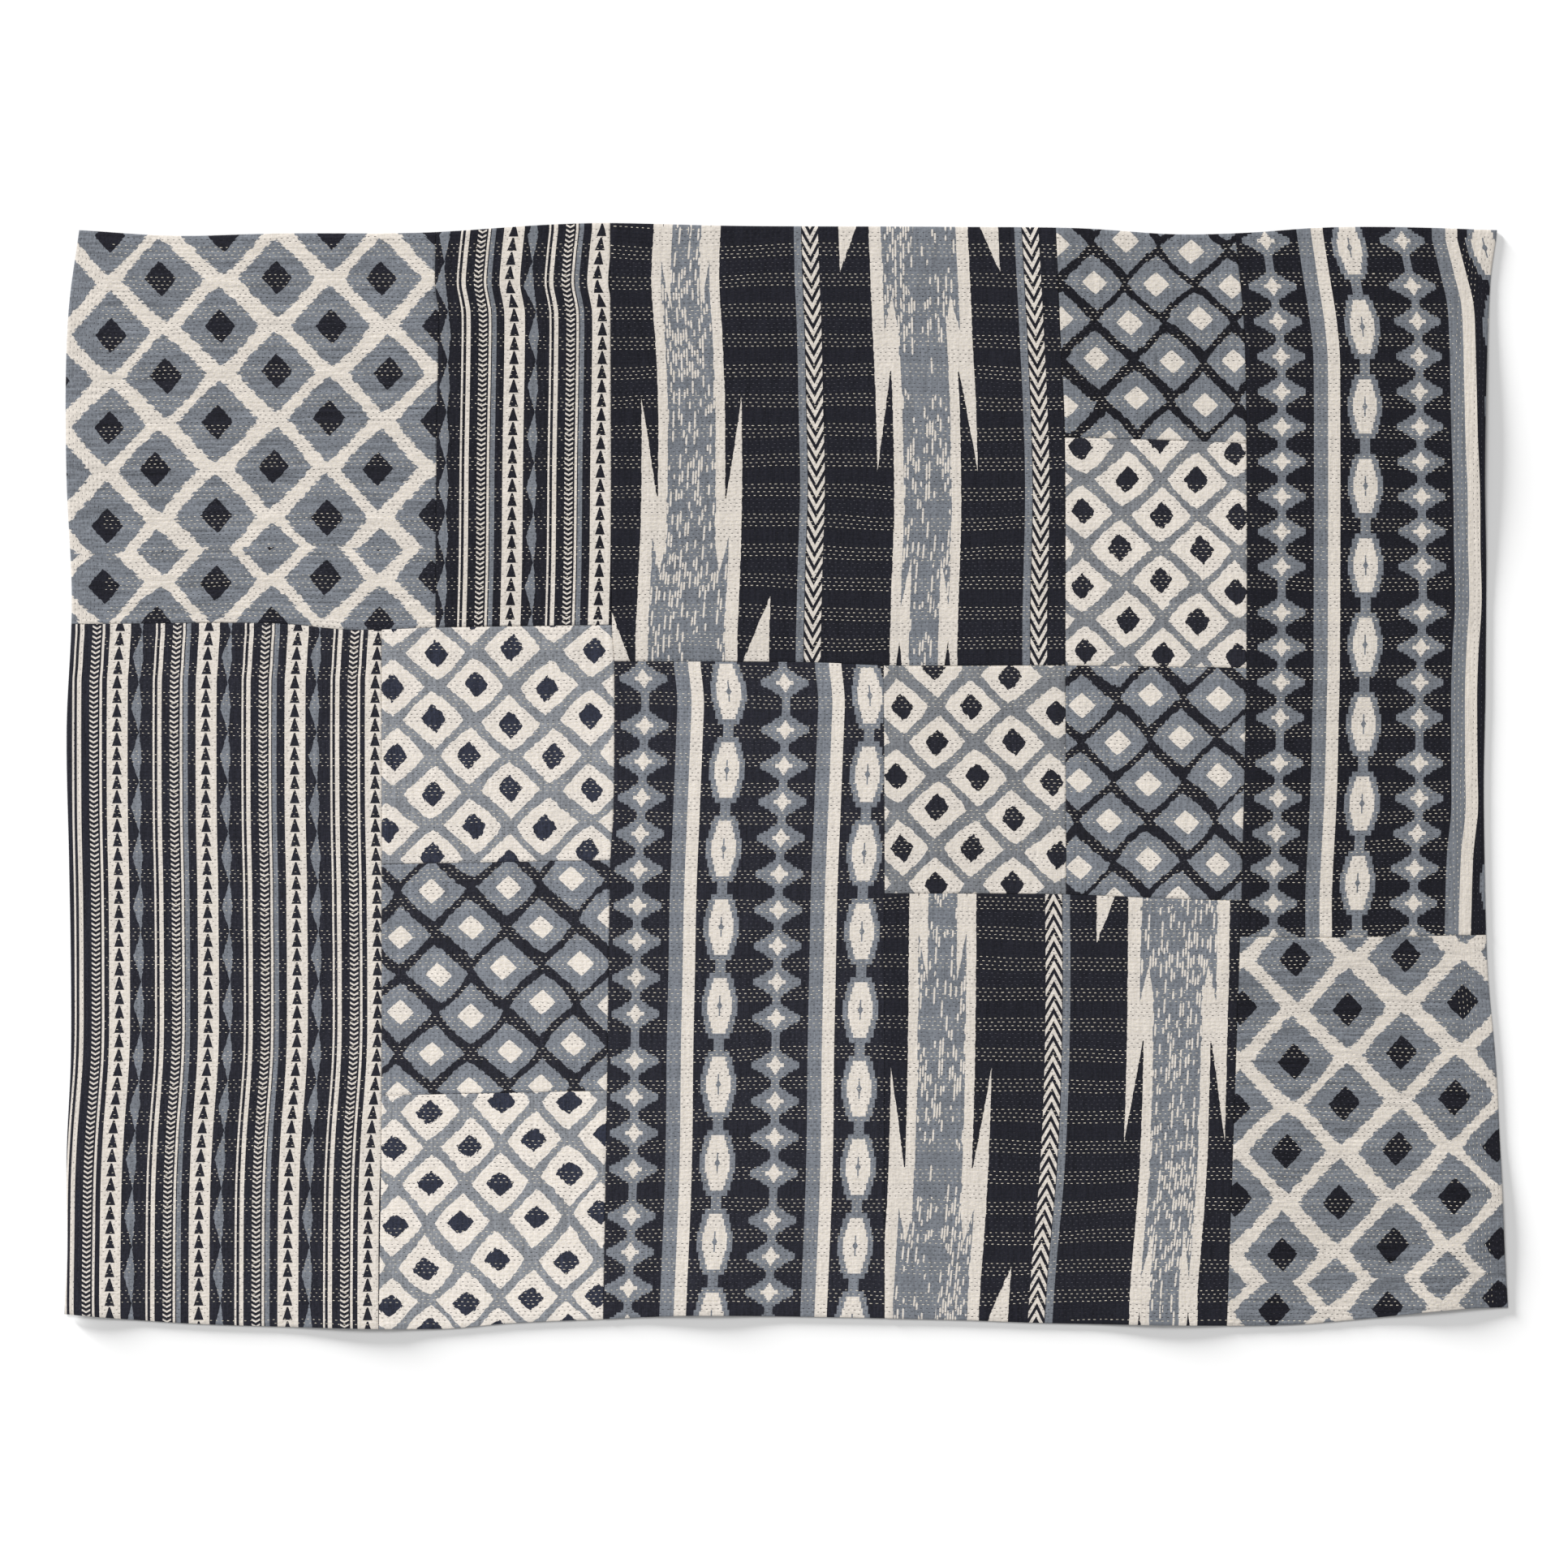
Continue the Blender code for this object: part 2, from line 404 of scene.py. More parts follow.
class Wire:
    """A number that runs through a node tree, written with the usual signs."""

    def __init__(self, tree: bpy.types.NodeTree, socket: bpy.types.NodeSocket) -> None:
        """Keep the tree and the socket that gives the number."""
        self.tree = tree
        self.socket = socket

    def step(self, operation: str, *others: "Wire | float") -> "Wire":
        """Add a Math node.

        Args:
            operation: the Math node's operation.
            others: its further terms, wires or plain numbers.

        Returns:
            The node's result.
        """
        node = self.tree.nodes.new("ShaderNodeMath")
        node.operation = operation
        for slot, term in zip(node.inputs, (self, *others)):
            if isinstance(term, Wire):
                self.tree.links.new(term.socket, slot)
            else:
                slot.default_value = term
        return Wire(self.tree, node.outputs[0])

    def __add__(self, other: "Wire | float") -> "Wire":
        """Return the sum."""
        return self.step("ADD", other)

    __radd__ = __add__

    def __sub__(self, other: "Wire | float") -> "Wire":
        """Return the difference."""
        return self.step("SUBTRACT", other)

    def __rsub__(self, other: "Wire | float") -> "Wire":
        """Return the difference from a plain number."""
        return self.step("MULTIPLY", -1.0).step("ADD", other)

    def __mul__(self, other: "Wire | float") -> "Wire":
        """Return the product."""
        return self.step("MULTIPLY", other)

    __rmul__ = __mul__

    def __truediv__(self, other: "Wire | float") -> "Wire":
        """Return the quotient."""
        return self.step("DIVIDE", other)

    def __abs__(self) -> "Wire":
        """Return the size without its sign."""
        return self.step("ABSOLUTE")

    def __lt__(self, other: "Wire | float") -> "Wire":
        """Return 1 where this is the smaller."""
        return self.step("LESS_THAN", other)

    def __gt__(self, other: "Wire | float") -> "Wire":
        """Return 1 where this is the greater."""
        return self.step("GREATER_THAN", other)

    def __and__(self, other: "Wire") -> "Wire":
        """Return 1 where both masks hold."""
        return self.step("MULTIPLY", other)

    def __or__(self, other: "Wire") -> "Wire":
        """Return 1 where either mask holds."""
        return self.step("MAXIMUM", other)

    def __invert__(self) -> "Wire":
        """Return 1 where the mask doesn't hold."""
        return 1.0 - self

    def between(self, low: "Wire | float", high: "Wire | float") -> "Wire":
        """Return 1 where this lies between the two."""
        return (self > low) & (self < high)

    def floor(self) -> "Wire":
        """Return the whole number below."""
        return self.step("FLOOR")

    def rounded(self) -> "Wire":
        """Return the nearest whole number."""
        return self.step("ROUND")

    def wrapped(self, period: "Wire | float") -> "Wire":
        """Return the remainder from 0 up to the period."""
        return self.step("FLOORED_MODULO", period)

    def power(self, exponent: "Wire | float") -> "Wire":
        """Return the power."""
        return self.step("POWER", exponent)

    def joined(self, other: "Wire | float", third: "Wire | float" = 0.0) -> bpy.types.NodeSocket:
        """Put three numbers together.

        Args:
            other: the second number.
            third: the third number.

        Returns:
            A vector socket, with this number first.
        """
        node = self.tree.nodes.new("ShaderNodeCombineXYZ")
        for slot, term in zip(node.inputs, (self, other, third)):
            if isinstance(term, Wire):
                self.tree.links.new(term.socket, slot)
            else:
                slot.default_value = term
        return node.outputs[0]

    def hashed(self, other: "Wire | float" = 0.0, third: float = 0.0) -> "Wire":
        """Turn numbers into a fixed uneven one.

        Args:
            other: a second number.
            third: a third number.

        Returns:
            A number from 0 to 1, the same for the same three numbers.
        """
        node = self.tree.nodes.new("ShaderNodeTexWhiteNoise")
        node.noise_dimensions = "3D"
        self.tree.links.new(self.joined(other, third), node.inputs["Vector"])
        return Wire(self.tree, node.outputs["Value"])


class Effect:
    """A shader node group with named inputs and outputs."""

    def __init__(self, name: str, inputs: dict[str, tuple[str, object]], outputs: dict[str, str]) -> None:
        """Start the group.

        Args:
            name: the group's name.
            inputs: each input's socket type and default value.
            outputs: each output's socket type.
        """
        self.tree = bpy.data.node_groups.new(name, "ShaderNodeTree")
        for label, (kind, value) in inputs.items():
            socket = self.tree.interface.new_socket(name=label, in_out="INPUT", socket_type=kind)
            if value is not None:
                socket.default_value = value
        for label, kind in outputs.items():
            self.tree.interface.new_socket(name=label, in_out="OUTPUT", socket_type=kind)
        self.entry = self.tree.nodes.new("NodeGroupInput")
        self.exit = self.tree.nodes.new("NodeGroupOutput")

    def wire(self, label: str) -> Wire:
        """Return the number that comes in under this name."""
        return Wire(self.tree, self.entry.outputs[label])

    def pair(self, label: str) -> tuple[Wire, Wire]:
        """Split a vector input.

        Args:
            label: the input's name.

        Returns:
            The vector's first two numbers.
        """
        node = self.tree.nodes.new("ShaderNodeSeparateXYZ")
        self.tree.links.new(self.entry.outputs[label], node.inputs[0])
        return Wire(self.tree, node.outputs[0]), Wire(self.tree, node.outputs[1])

    def give(self, label: str, value: Wire | bpy.types.NodeSocket) -> None:
        """Send a result out under this name."""
        self.tree.links.new(value.socket if isinstance(value, Wire) else value, self.exit.inputs[label])

    def noise(self, place: bpy.types.NodeSocket, scale: Triple, detail: float, seed: float) -> Wire:
        """Add a soft noise.

        Args:
            place: the vector that it reads.
            scale: how many features there are to a unit, along x, y and z.
            detail: how many finer layers it has.
            seed: moves the noise, so that two of them differ.

        Returns:
            The noise, from about 0 to 1.
        """
        move = self.tree.nodes.new("ShaderNodeMapping")
        move.inputs["Scale"].default_value = scale
        move.inputs["Location"].default_value = (seed, seed * 0.37, seed * 0.11)
        self.tree.links.new(place, move.inputs["Vector"])
        node = self.tree.nodes.new("ShaderNodeTexNoise")
        node.inputs["Scale"].default_value = 1.0
        node.inputs["Detail"].default_value = detail
        self.tree.links.new(move.outputs[0], node.inputs["Vector"])
        return Wire(self.tree, node.outputs[0])


FLOAT = "NodeSocketFloat"
VECTOR = "NodeSocketVector"
COLOUR = "NodeSocketColor"
MASKS = {"First": FLOAT, "Second": FLOAT}


class Print:
    """A printed or tied pattern: a node group that turns a place on the cloth into two masks."""

    group_name = "plain"

    def build(self) -> bpy.types.NodeTree:
        """Make the print's node group.

        Returns:
            The group.
        """
        raise NotImplementedError

    def settings(self) -> dict[str, object]:
        """Give the values of this patch for the group's inputs.

        Returns:
            The values by the inputs' names.
        """
        return {}

    def effect(self) -> Effect:
        """Start the print's node group, with an input for the place and for each setting.

        Returns:
            The group, with its two masks out.
        """
        inputs: dict[str, tuple[str, object]] = {"Place": (VECTOR, None)}
        inputs |= {label: (FLOAT, value) for label, value in self.settings().items()}
        return Effect(self.group_name, inputs, MASKS)

    def group(self) -> bpy.types.NodeTree:
        """Return the node group, built the first time that it is wanted."""
        return bpy.data.node_groups.get(self.group_name) or self.build()

    def add(self, tree: bpy.types.NodeTree, place: bpy.types.NodeSocket) -> bpy.types.Node:
        """Put the group in a material.

        Args:
            tree: the material's node tree.
            place: the print's own coordinates.

        Returns:
            The group's node.
        """
        node = tree.nodes.new("ShaderNodeGroup")
        node.node_tree = self.group()
        tree.links.new(place, node.inputs["Place"])
        for label, value in self.settings().items():
            node.inputs[label].default_value = value
        return node


@dataclass(frozen=True)
class DiamondPrint(Print):
    """Diamonds with a small heart, on a lattice; the edges are ragged where the tied yarns took the dye."""

    pitch: tuple[float, float]
    half: tuple[float, float]
    heart: tuple[float, float]
    shape: float = 1.12
    bias: float = 0.0
    tooth: float = 2.2
    ragged_up: float = 4.0
    ragged_across: float = 1.2
    heart_ragged: float = 0.4
    heart_shape: float = 1.08
    uneven: float = 0.05
    skew: float = 0.08
    cut_line: float = -9999.0
    cut_depth: float = 0.0
    group_name = "tied_diamonds"

    def settings(self) -> dict[str, object]:
        """Give the values of this patch for the group's inputs.

        Returns:
            The values by the inputs' names.
        """
        return {
            "Pitch X": self.pitch[0],
            "Pitch Y": self.pitch[1],
            "Half X": self.half[0],
            "Half Y": self.half[1],
            "Heart X": self.heart[0],
            "Heart Y": self.heart[1],
            "Half Shape": self.shape,
            "Heart Shape": self.heart_shape,
            "Bias": self.bias,
            "Heart Ragged": self.heart_ragged,
            "Tooth": self.tooth,
            "Ragged Up": self.ragged_up,
            "Ragged Across": self.ragged_across,
            "Uneven": self.uneven,
            "Skew": self.skew,
            "Cut Line": self.cut_line,
            "Cut Depth": self.cut_depth,
        }

    def build(self) -> bpy.types.NodeTree:
        """Make the print's node group.

        Returns:
            The group.
        """
        effect = self.effect()
        across, up = effect.pair("Place")
        x = across * effect.wire("Pitch X")
        y = up * effect.wire("Pitch Y")
        y = y - effect.wire("Cut Depth") * (y < effect.wire("Cut Line"))
        up = y / effect.wire("Pitch Y")
        first = (across + up).rounded()
        second = (across - up).rounded()
        dx = x - (first + second) * effect.wire("Pitch X") * 0.5
        dy = y - (first - second) * effect.wire("Pitch Y") * 0.5
        size = 1.0 + (first.hashed(second, 1.0) - 0.5) * 2.0 * effect.wire("Uneven")
        lean = (first.hashed(second, 2.0) - 0.5) * 2.0 * effect.wire("Skew")
        tooth = effect.wire("Tooth")
        ragged_y = ((x / tooth).floor().hashed(first, 3.0) - 0.5) * effect.wire("Ragged Up")
        ragged_x = ((y / tooth).floor().hashed(second, 4.0) - 0.5) * effect.wire("Ragged Across")
        dx = dx + dy * lean
        effect.give("First", self.inside(effect, dx + ragged_x, dy + ragged_y, size, "Half"))
        calm = effect.wire("Heart Ragged")
        heart = self.inside(effect, dx + ragged_x * calm, dy + ragged_y * calm, size, "Heart")
        effect.give("Second", heart)
        return effect.tree

    @staticmethod
    def inside(effect: Effect, dx: Wire, dy: Wire, size: Wire, label: str) -> Wire:
        """Tell whether a place is inside a diamond.

        Args:
            effect: the node group.
            dx: the distance across from the diamond's middle, in mm.
            dy: the distance up from its middle, in mm.
            size: this diamond's own size, as a share of the usual one.
            label: the inputs that hold its half sizes.

        Returns:
            1 inside and 0 outside.
        """
        across = dx / (effect.wire(label + " X") * size)
        up = dy / (effect.wire(label + " Y") * size)
        wide = abs(across + up * effect.wire("Bias")).power(effect.wire(label + " Shape"))
        tall = abs(up + across * effect.wire("Bias")).power(effect.wire(label + " Shape"))
        return (wide + tall) < 1.0


@dataclass(frozen=True)
class StripePrint(Print):
    """Narrow stripes: arrowheads, triangles, a chain of long lenses and plain lines."""

    skip_first: float = 9999.0
    skip_second: float = 9999.0
    lens_start: float = 583.4
    lens_pitch: float = 59.8
    lens_turn: float = -999.0
    triangle_start: float = 0.0
    triangle_pitch: float = 17.1
    period: float = 105.9
    start: float = 111.7
    skip: float = 10.15
    group_name = "arrow_stripes"
    tooth = 2.9
    ragged = 1.1
    margin = 5.3
    arrow_half = 5.0
    arrow_slope = 0.57
    arrow_pitch = 5.9
    arrow_line = 2.3
    triangle_middle = 37.9
    triangle_half = 5.9
    triangle_slope = 0.32
    triangle_height = 15.6
    wide_stripe = (25.9, 50.7)
    thin_stripes = ((7.0, 9.9), (80.5, 82.8), (86.1, 91.1))
    grey_stripe = (11.1, 16.4)
    lens_left = 54.9
    lens_right = 67.4
    lens_left_slope = 0.31
    lens_right_slope = 0.10
    lens_slowing = 0.133

    def settings(self) -> dict[str, object]:
        """Give the values of this patch for the group's inputs.

        Returns:
            The values by the inputs' names.
        """
        return {
            "Skip First": self.skip_first,
            "Skip Second": self.skip_second,
            "Lens Start": self.lens_start,
            "Lens Pitch": self.lens_pitch,
            "Lens Turn": self.lens_turn,
            "Triangle Start": self.triangle_start,
            "Triangle Pitch": self.triangle_pitch,
        }

    def build(self) -> bpy.types.NodeTree:
        """Make the print's node group.

        Returns:
            The group.
        """
        effect = self.effect()
        x, y = effect.pair("Place")
        x = x + (x > effect.wire("Skip First")) * self.skip + (x > effect.wire("Skip Second")) * self.skip
        ragged = ((y / self.tooth).floor().hashed(7.0) - 0.5) * self.ragged
        w = (x - self.start + self.margin).wrapped(self.period) - self.margin
        slanted = (abs(w) * self.arrow_slope - y).wrapped(self.arrow_pitch)
        arrows = (abs(w) < self.arrow_half) & (slanted < self.arrow_line)
        height = (y - effect.wire("Triangle Start")).wrapped(effect.wire("Triangle Pitch"))
        narrowed = self.triangle_half - height * self.triangle_slope
        triangle = (abs(w - self.triangle_middle) < narrowed) & (height < self.triangle_height)
        cream = arrows | (w.between(*self.wide_stripe) & ~triangle)
        for stripe in self.thin_stripes:
            cream = cream | w.between(*stripe)
        half = effect.wire("Lens Pitch") * 0.5
        below = y - effect.wire("Lens Turn")
        slower = y - below * (below < 0.0) * self.lens_slowing
        chain = slower - effect.wire("Lens Start") + half
        away = abs(chain.wrapped(effect.wire("Lens Pitch")) - half)
        left = self.lens_left + away * self.lens_left_slope
        right = self.lens_right - away * self.lens_right_slope
        effect.give("First", w.between(*self.grey_stripe) | (w + ragged).between(left, right))
        effect.give("Second", cream)
        return effect.tree


@dataclass(frozen=True)
class BandPrint(Print):
    """Two wide tied bands that run opposite ways, between columns of herringbone."""

    reverse: float = 88.5
    first_band: float = 0.0
    second_band: float = 278.5
    herringbones: tuple[float, float] = (147.0, 413.9)
    streak_pitch: float = 3.2
    streak_cell: float = 24.0
    streak_slant: float = 0.03
    group_name = "tied_bands"
    core = 28.4
    rim = 39.8
    core_cut = 29.2
    wide_core = 45.4
    reach = 59.6
    outer_reach = 60.0
    far_reach = 96.7
    narrow_core = 17.2
    block_start = 119.4
    block_end = 167.3
    wedge_end = 210.8
    far_start = 236.9
    narrow_start = -162.5
    narrow_end = -101.5
    notch_middle = 28.6
    notch_end = -202.0
    spike_slope = 0.154
    far_slope = 0.39
    notch_slope = -0.12

    def band(self, s: Wire, t: Wire) -> tuple[Wire, Wire]:
        """Draw one band.

        Args:
            s: the distance from the band's middle, in mm.
            t: the place down the band, in mm.

        Returns:
            The grey and the cream mask.
        """
        border = s.between(self.core, self.rim) & (t < self.block_start)
        spike = s.between(self.reach - t * self.spike_slope, self.reach) & t.between(0.0, self.block_start)
        block = s.between(self.core_cut, self.reach) & t.between(self.block_start, self.block_end)
        grown = (t - self.block_end) / (self.wedge_end - self.block_end)
        wedge = s.between(self.core + grown * 7.0, self.wide_core - grown * 10.6)
        wedge = wedge & t.between(self.block_end, self.wedge_end)
        outer = s.between(self.wide_core, self.outer_reach) & (t > self.block_end)
        far = s.between(self.far_reach - (t - self.far_start) * self.far_slope, self.far_reach)
        far = far & (t > self.far_start)
        top = s.between(self.narrow_core, self.core) & (t < self.narrow_start)
        narrowed = (t - self.narrow_start) / (self.narrow_end - self.narrow_start)
        top_wedge = s.between(self.narrow_core, self.core - narrowed * (self.core - self.narrow_core))
        top_wedge = top_wedge & t.between(self.narrow_start, self.narrow_end)
        notch = abs(s - self.notch_middle) < ((t - self.notch_end) * self.notch_slope)
        cream = border | spike | block | wedge | outer | far | top | top_wedge
        grey = (s < self.wide_core) & ((s < self.core_cut) | (t > self.block_end))
        return grey & ~notch, cream & ~notch

    def build(self) -> bpy.types.NodeTree:
        """Make the print's node group.

        Returns:
            The group.
        """
        effect = self.effect()
        x, y = effect.pair("Place")
        column = (x / 2.6).floor()
        ragged_y = (column.hashed(1.0, 5.0) - 0.5) * 3.0
        ragged_x = ((y / 5.0).floor().hashed(column, 6.0) - 0.5) * 0.7
        first_grey, first_cream = self.band(abs(x + ragged_x - self.first_band), y + ragged_y)
        turned = self.reverse - y + ragged_y
        second_grey, second_cream = self.band(abs(x + ragged_x - self.second_band), turned)
        grey = first_grey | second_grey
        cream = first_cream | second_cream | (grey & self.streaks(effect, x, y))
        for centre in self.herringbones:
            away = abs(x - centre)
            cream = cream | ((away < 9.8) & ((y + away * 1.9).wrapped(16.0) < 8.3))
            grey = grey | (x - centre).between(-19.3, -10.6)
        effect.give("First", grey)
        effect.give("Second", cream)
        return effect.tree

    def streaks(self, effect: Effect, x: Wire, y: Wire) -> Wire:
        """Scatter thin undyed streaks, tapered and a little slanted, in loose clusters.

        Args:
            effect: the node group.
            x: the place across, in mm.
            y: the place down, in mm.

        Returns:
            1 on a streak.
        """
        slanted = x + y * self.streak_slant
        column = (slanted / self.streak_pitch).floor()
        cell = y / self.streak_cell + column.hashed(2.0, 8.0) * 7.0
        number = cell.floor()
        length = number.hashed(column, 9.0) * 0.72 + 0.26
        place = (cell - number) / length
        taper = (1.0 - abs(place * 2.0 - 1.0)) * 1.6
        cluster = effect.noise(x.joined(y), (0.022, 0.010, 1.0), 1.0, 6.3)
        shown = number.hashed(column, 10.0) < (cluster * 1.7 - 0.36)
        width = taper.step("MINIMUM", 0.34)
        return shown & (abs(slanted / self.streak_pitch - column - 0.5) < width) & (place < 1.0)


@dataclass(frozen=True)
class CrossPrint(Print):
    """Stepped crosses and long hexagons in columns, with a grey and a cream stripe between them."""

    hexagon_pitch: float = 95.4
    hexagon_start: float = -46.4
    column_drop: float = 0.0
    group_name = "stepped_crosses"
    period = 167.8
    margin = 30.0
    chain_length = 573.0
    chain_margin = 21.0
    break_start = 364.0
    break_length = 391.8
    cross_pitch = 42.1
    last_cross = 8.0
    last_drop = 5.0
    step_across = 2.6
    step_up = 2.7
    cross_half = 7.1
    cross_row = 2.2
    cross_narrowing = 1.45
    cross_arm = 3.2
    diamond_across = 36.5
    diamond_up = 23.8
    diamond_shape = 0.8
    diamond_reach = 28.4
    bar_half = 3.6
    neck_half = 4.8
    crosses_end = 32.0
    grey_stripe = (38.2, 55.1)
    cream_stripe = (55.1, 69.8)
    hexagon_middle = 100.1
    heart_half = 14.6
    heart_steps = ((10.5, 2.2), (18.5, 2.2), (26.5, 2.3))
    heart_height = 32.4
    rim_half = 21.2
    rim_steps = ((12.0, 2.6), (22.0, 2.2), (32.0, 3.6))
    rim_height = 38.4
    dot_across = 3.4
    dot_up = 5.6
    dot_line = (0.85, 12.0)
    link_half = 6.1

    def settings(self) -> dict[str, object]:
        """Give the values of this patch for the group's inputs.

        Returns:
            The values by the inputs' names.
        """
        return {
            "Hexagon Pitch": self.hexagon_pitch,
            "Hexagon Start": self.hexagon_start,
            "Column Drop": self.column_drop,
        }

    def build(self) -> bpy.types.NodeTree:
        """Make the print's node group.

        Returns:
            The group.
        """
        effect = self.effect()
        x, y = effect.pair("Place")
        w = (x + self.margin).wrapped(self.period) - self.margin
        y = y + ((x + self.margin) / self.period).floor() * effect.wire("Column Drop")
        diamond, cross = self.chain(w, y)
        rim, heart = self.hexagons(effect, w - self.hexagon_middle, y)
        first = w < self.crosses_end
        effect.give("First", diamond & first | w.between(*self.grey_stripe) | rim)
        effect.give("Second", (cross & first) | w.between(*self.cream_stripe) | heart)
        return effect.tree

    def chain(self, w: Wire, y: Wire) -> tuple[Wire, Wire]:
        """Draw the chain of stepped diamonds, each with a cross in it.

        Args:
            w: the distance across from the chain's middle, in mm.
            y: the place along it, in mm.

        Returns:
            The diamonds and the crosses.
        """
        m = (y + self.chain_margin).wrapped(self.chain_length) - self.chain_margin
        later = m > self.break_start
        m = m - later * self.break_length
        last = self.last_cross - later * self.last_drop
        count = (m / self.cross_pitch).rounded().step("MAXIMUM", 0.0).step("MINIMUM", last)
        dy = abs(m - count * self.cross_pitch)
        step_x = ((abs(w) / self.step_across).floor() + 0.5) * self.step_across
        step_y = ((dy / self.step_up).floor() + 0.5) * self.step_up
        row = (dy / self.cross_row).floor()
        arm = (row < 0.5) * self.cross_arm
        cross = abs(w) < (self.cross_half - row * self.cross_narrowing + arm)
        wide = (step_x / self.diamond_across).power(self.diamond_shape)
        tall = (step_y / self.diamond_up).power(self.diamond_shape)
        diamond = ((wide + tall) < 1.0) | (dy < self.bar_half)
        diamond = diamond & (abs(w) < self.diamond_reach)
        return diamond | (abs(w) < self.neck_half), cross

    def hexagons(self, effect: Effect, d: Wire, y: Wire) -> tuple[Wire, Wire]:
        """Draw the column of long stepped hexagons.

        Args:
            effect: the node group.
            d: the distance across from the column's middle, in mm.
            y: the place along it, in mm.

        Returns:
            The hexagons with the link between them, and their hearts.
        """
        pitch = effect.wire("Hexagon Pitch")
        h = (y - effect.wire("Hexagon Start") + pitch * 0.5).wrapped(pitch)
        h = abs(h - pitch * 0.5)
        heart = (abs(d) < self.stepped(h, self.heart_half, self.heart_steps)) & (h < self.heart_height)
        rim = (abs(d) < self.stepped(h, self.rim_half, self.rim_steps)) & (h < self.rim_height)
        line_half, line_height = self.dot_line
        dot = (abs(d) / self.dot_across + h / self.dot_up) < 1.0
        dot = dot | ((abs(d) < line_half) & (h < line_height))
        return rim | (abs(d) < self.link_half), heart & ~dot

    @staticmethod
    def stepped(h: Wire, half: float, steps: Points) -> Wire:
        """Narrow a shape in steps towards its ends.

        Args:
            h: the distance along from the shape's middle, in mm.
            half: its half width at the middle, in mm.
            steps: where each step starts, and how much it takes off, in mm.

        Returns:
            The half width there.
        """
        for start, cut in steps:
            half = half - (h > start) * cut
        return half


class WovenCotton:
    """Effects that every printed cotton here shares."""

    @staticmethod
    def dye() -> bpy.types.NodeTree:
        """Make or find the group that turns masks into faded, slubby colour.

        Returns:
            The node group, with Colour and Roughness out.
        """
        found = bpy.data.node_groups.get("faded_dye")
        if found:
            return found
        colours = {"Ground": (COLOUR, None), "First Dye": (COLOUR, None), "Second Dye": (COLOUR, None)}
        masks = {"First": (FLOAT, 0.0), "Second": (FLOAT, 0.0)}
        wear = {"Fading": (FLOAT, 0.1), "Slub": (FLOAT, 0.3), "Lint": (FLOAT, 0.003)}
        effect = Effect(
            "faded_dye",
            {"Place": (VECTOR, None)} | colours | masks | wear,
            {"Colour": COLOUR, "Roughness": FLOAT},
        )
        place = effect.entry.outputs["Place"]
        worn = effect.noise(place, (9.0, 9.0, 9.0), 3.0, 3.1)
        warp = effect.noise(place, (1100.0, 75.0, 40.0), 1.0, 9.7)
        weft = effect.noise(place, (75.0, 1100.0, 40.0), 1.0, 14.2)
        streak = effect.noise(place, (26.0, 420.0, 40.0), 2.0, 21.6)
        fleck = effect.noise(place, (330.0, 330.0, 40.0), 1.0, 27.3)
        yarns = (warp + weft - 1.0) * 1.6 + (streak - 0.5) * 3.2 + (fleck - 0.5) * 1.6
        speck = (worn - 0.5) * effect.wire("Fading") * 2.0 + yarns * effect.wire("Slub")
        base = effect.entry.outputs["Ground"]
        for label in ("First", "Second"):
            mix = effect.tree.nodes.new("ShaderNodeMix")
            mix.data_type = "RGBA"
            effect.tree.links.new(effect.entry.outputs[label], mix.inputs["Factor"])
            effect.tree.links.new(base, mix.inputs[6])
            effect.tree.links.new(effect.entry.outputs[label + " Dye"], mix.inputs[7])
            base = mix.outputs[2]
        brightness = effect.tree.nodes.new("ShaderNodeRGBToBW")
        effect.tree.links.new(base, brightness.inputs[0])
        calm = 1.0 - Wire(effect.tree, brightness.outputs[0])
        shade = effect.tree.nodes.new("ShaderNodeVectorMath")
        shade.operation = "SCALE"
        effect.tree.links.new(base, shade.inputs[0])
        effect.tree.links.new((speck * calm + 1.0).socket, shade.inputs["Scale"])
        lint = effect.wire("Lint") * (weft + fleck + streak - 0.5).step("MAXIMUM", 0.0)
        dusted = effect.tree.nodes.new("ShaderNodeVectorMath")
        dusted.operation = "ADD"
        effect.tree.links.new(shade.outputs[0], dusted.inputs[0])
        effect.tree.links.new(lint.joined(lint * 1.04, lint * 1.40), dusted.inputs[1])
        effect.give("Colour", dusted.outputs[0])
        effect.give("Roughness", 0.92 - (warp * weft) * 0.15)
        return effect.tree

    @staticmethod
    def surface() -> bpy.types.NodeTree:
        """Make or find the group that gives the weave and the puckers between stitches.

        Returns:
            The node group, with Height out.
        """
        found = bpy.data.node_groups.get("puckered_weave")
        if found:
            return found
        places = {"Place": (VECTOR, None), "Rows": (VECTOR, None)}
        amounts = {"Pucker": (FLOAT, 1.0), "Weave": (FLOAT, 0.2)}
        effect = Effect("puckered_weave", places | amounts, {"Height": FLOAT})
        place = effect.entry.outputs["Place"]
        along, row = effect.pair("Rows")
        pull = effect.noise((along / 5.2).joined(row * 1.15), (1.0, 1.0, 1.0), 1.5, 2.0)
        wide = effect.noise((along / 26.0).joined(row * 0.3), (1.0, 1.0, 1.0), 1.0, 5.0)
        warp = effect.noise(place, (1400.0, 120.0, 40.0), 1.0, 9.7)
        weft = effect.noise(place, (120.0, 1400.0, 40.0), 1.0, 14.2)
        height = (pull + wide * 0.7) * effect.wire("Pucker") + (warp + weft) * effect.wire("Weave")
        effect.give("Height", height)
        return effect.tree


@dataclass(frozen=True)
class Dyes:
    """The three colours of a print: its ground, its first mask and its second mask."""

    ground: Colour
    first: Colour
    second: Colour


@dataclass(frozen=True)
class PatchTone:
    """A patch's tone: a scale on the strength of its dyes, highest on the lower left patches and lowest on
    the right, and the pale lint on its face.
    """

    strength: float
    lint: float


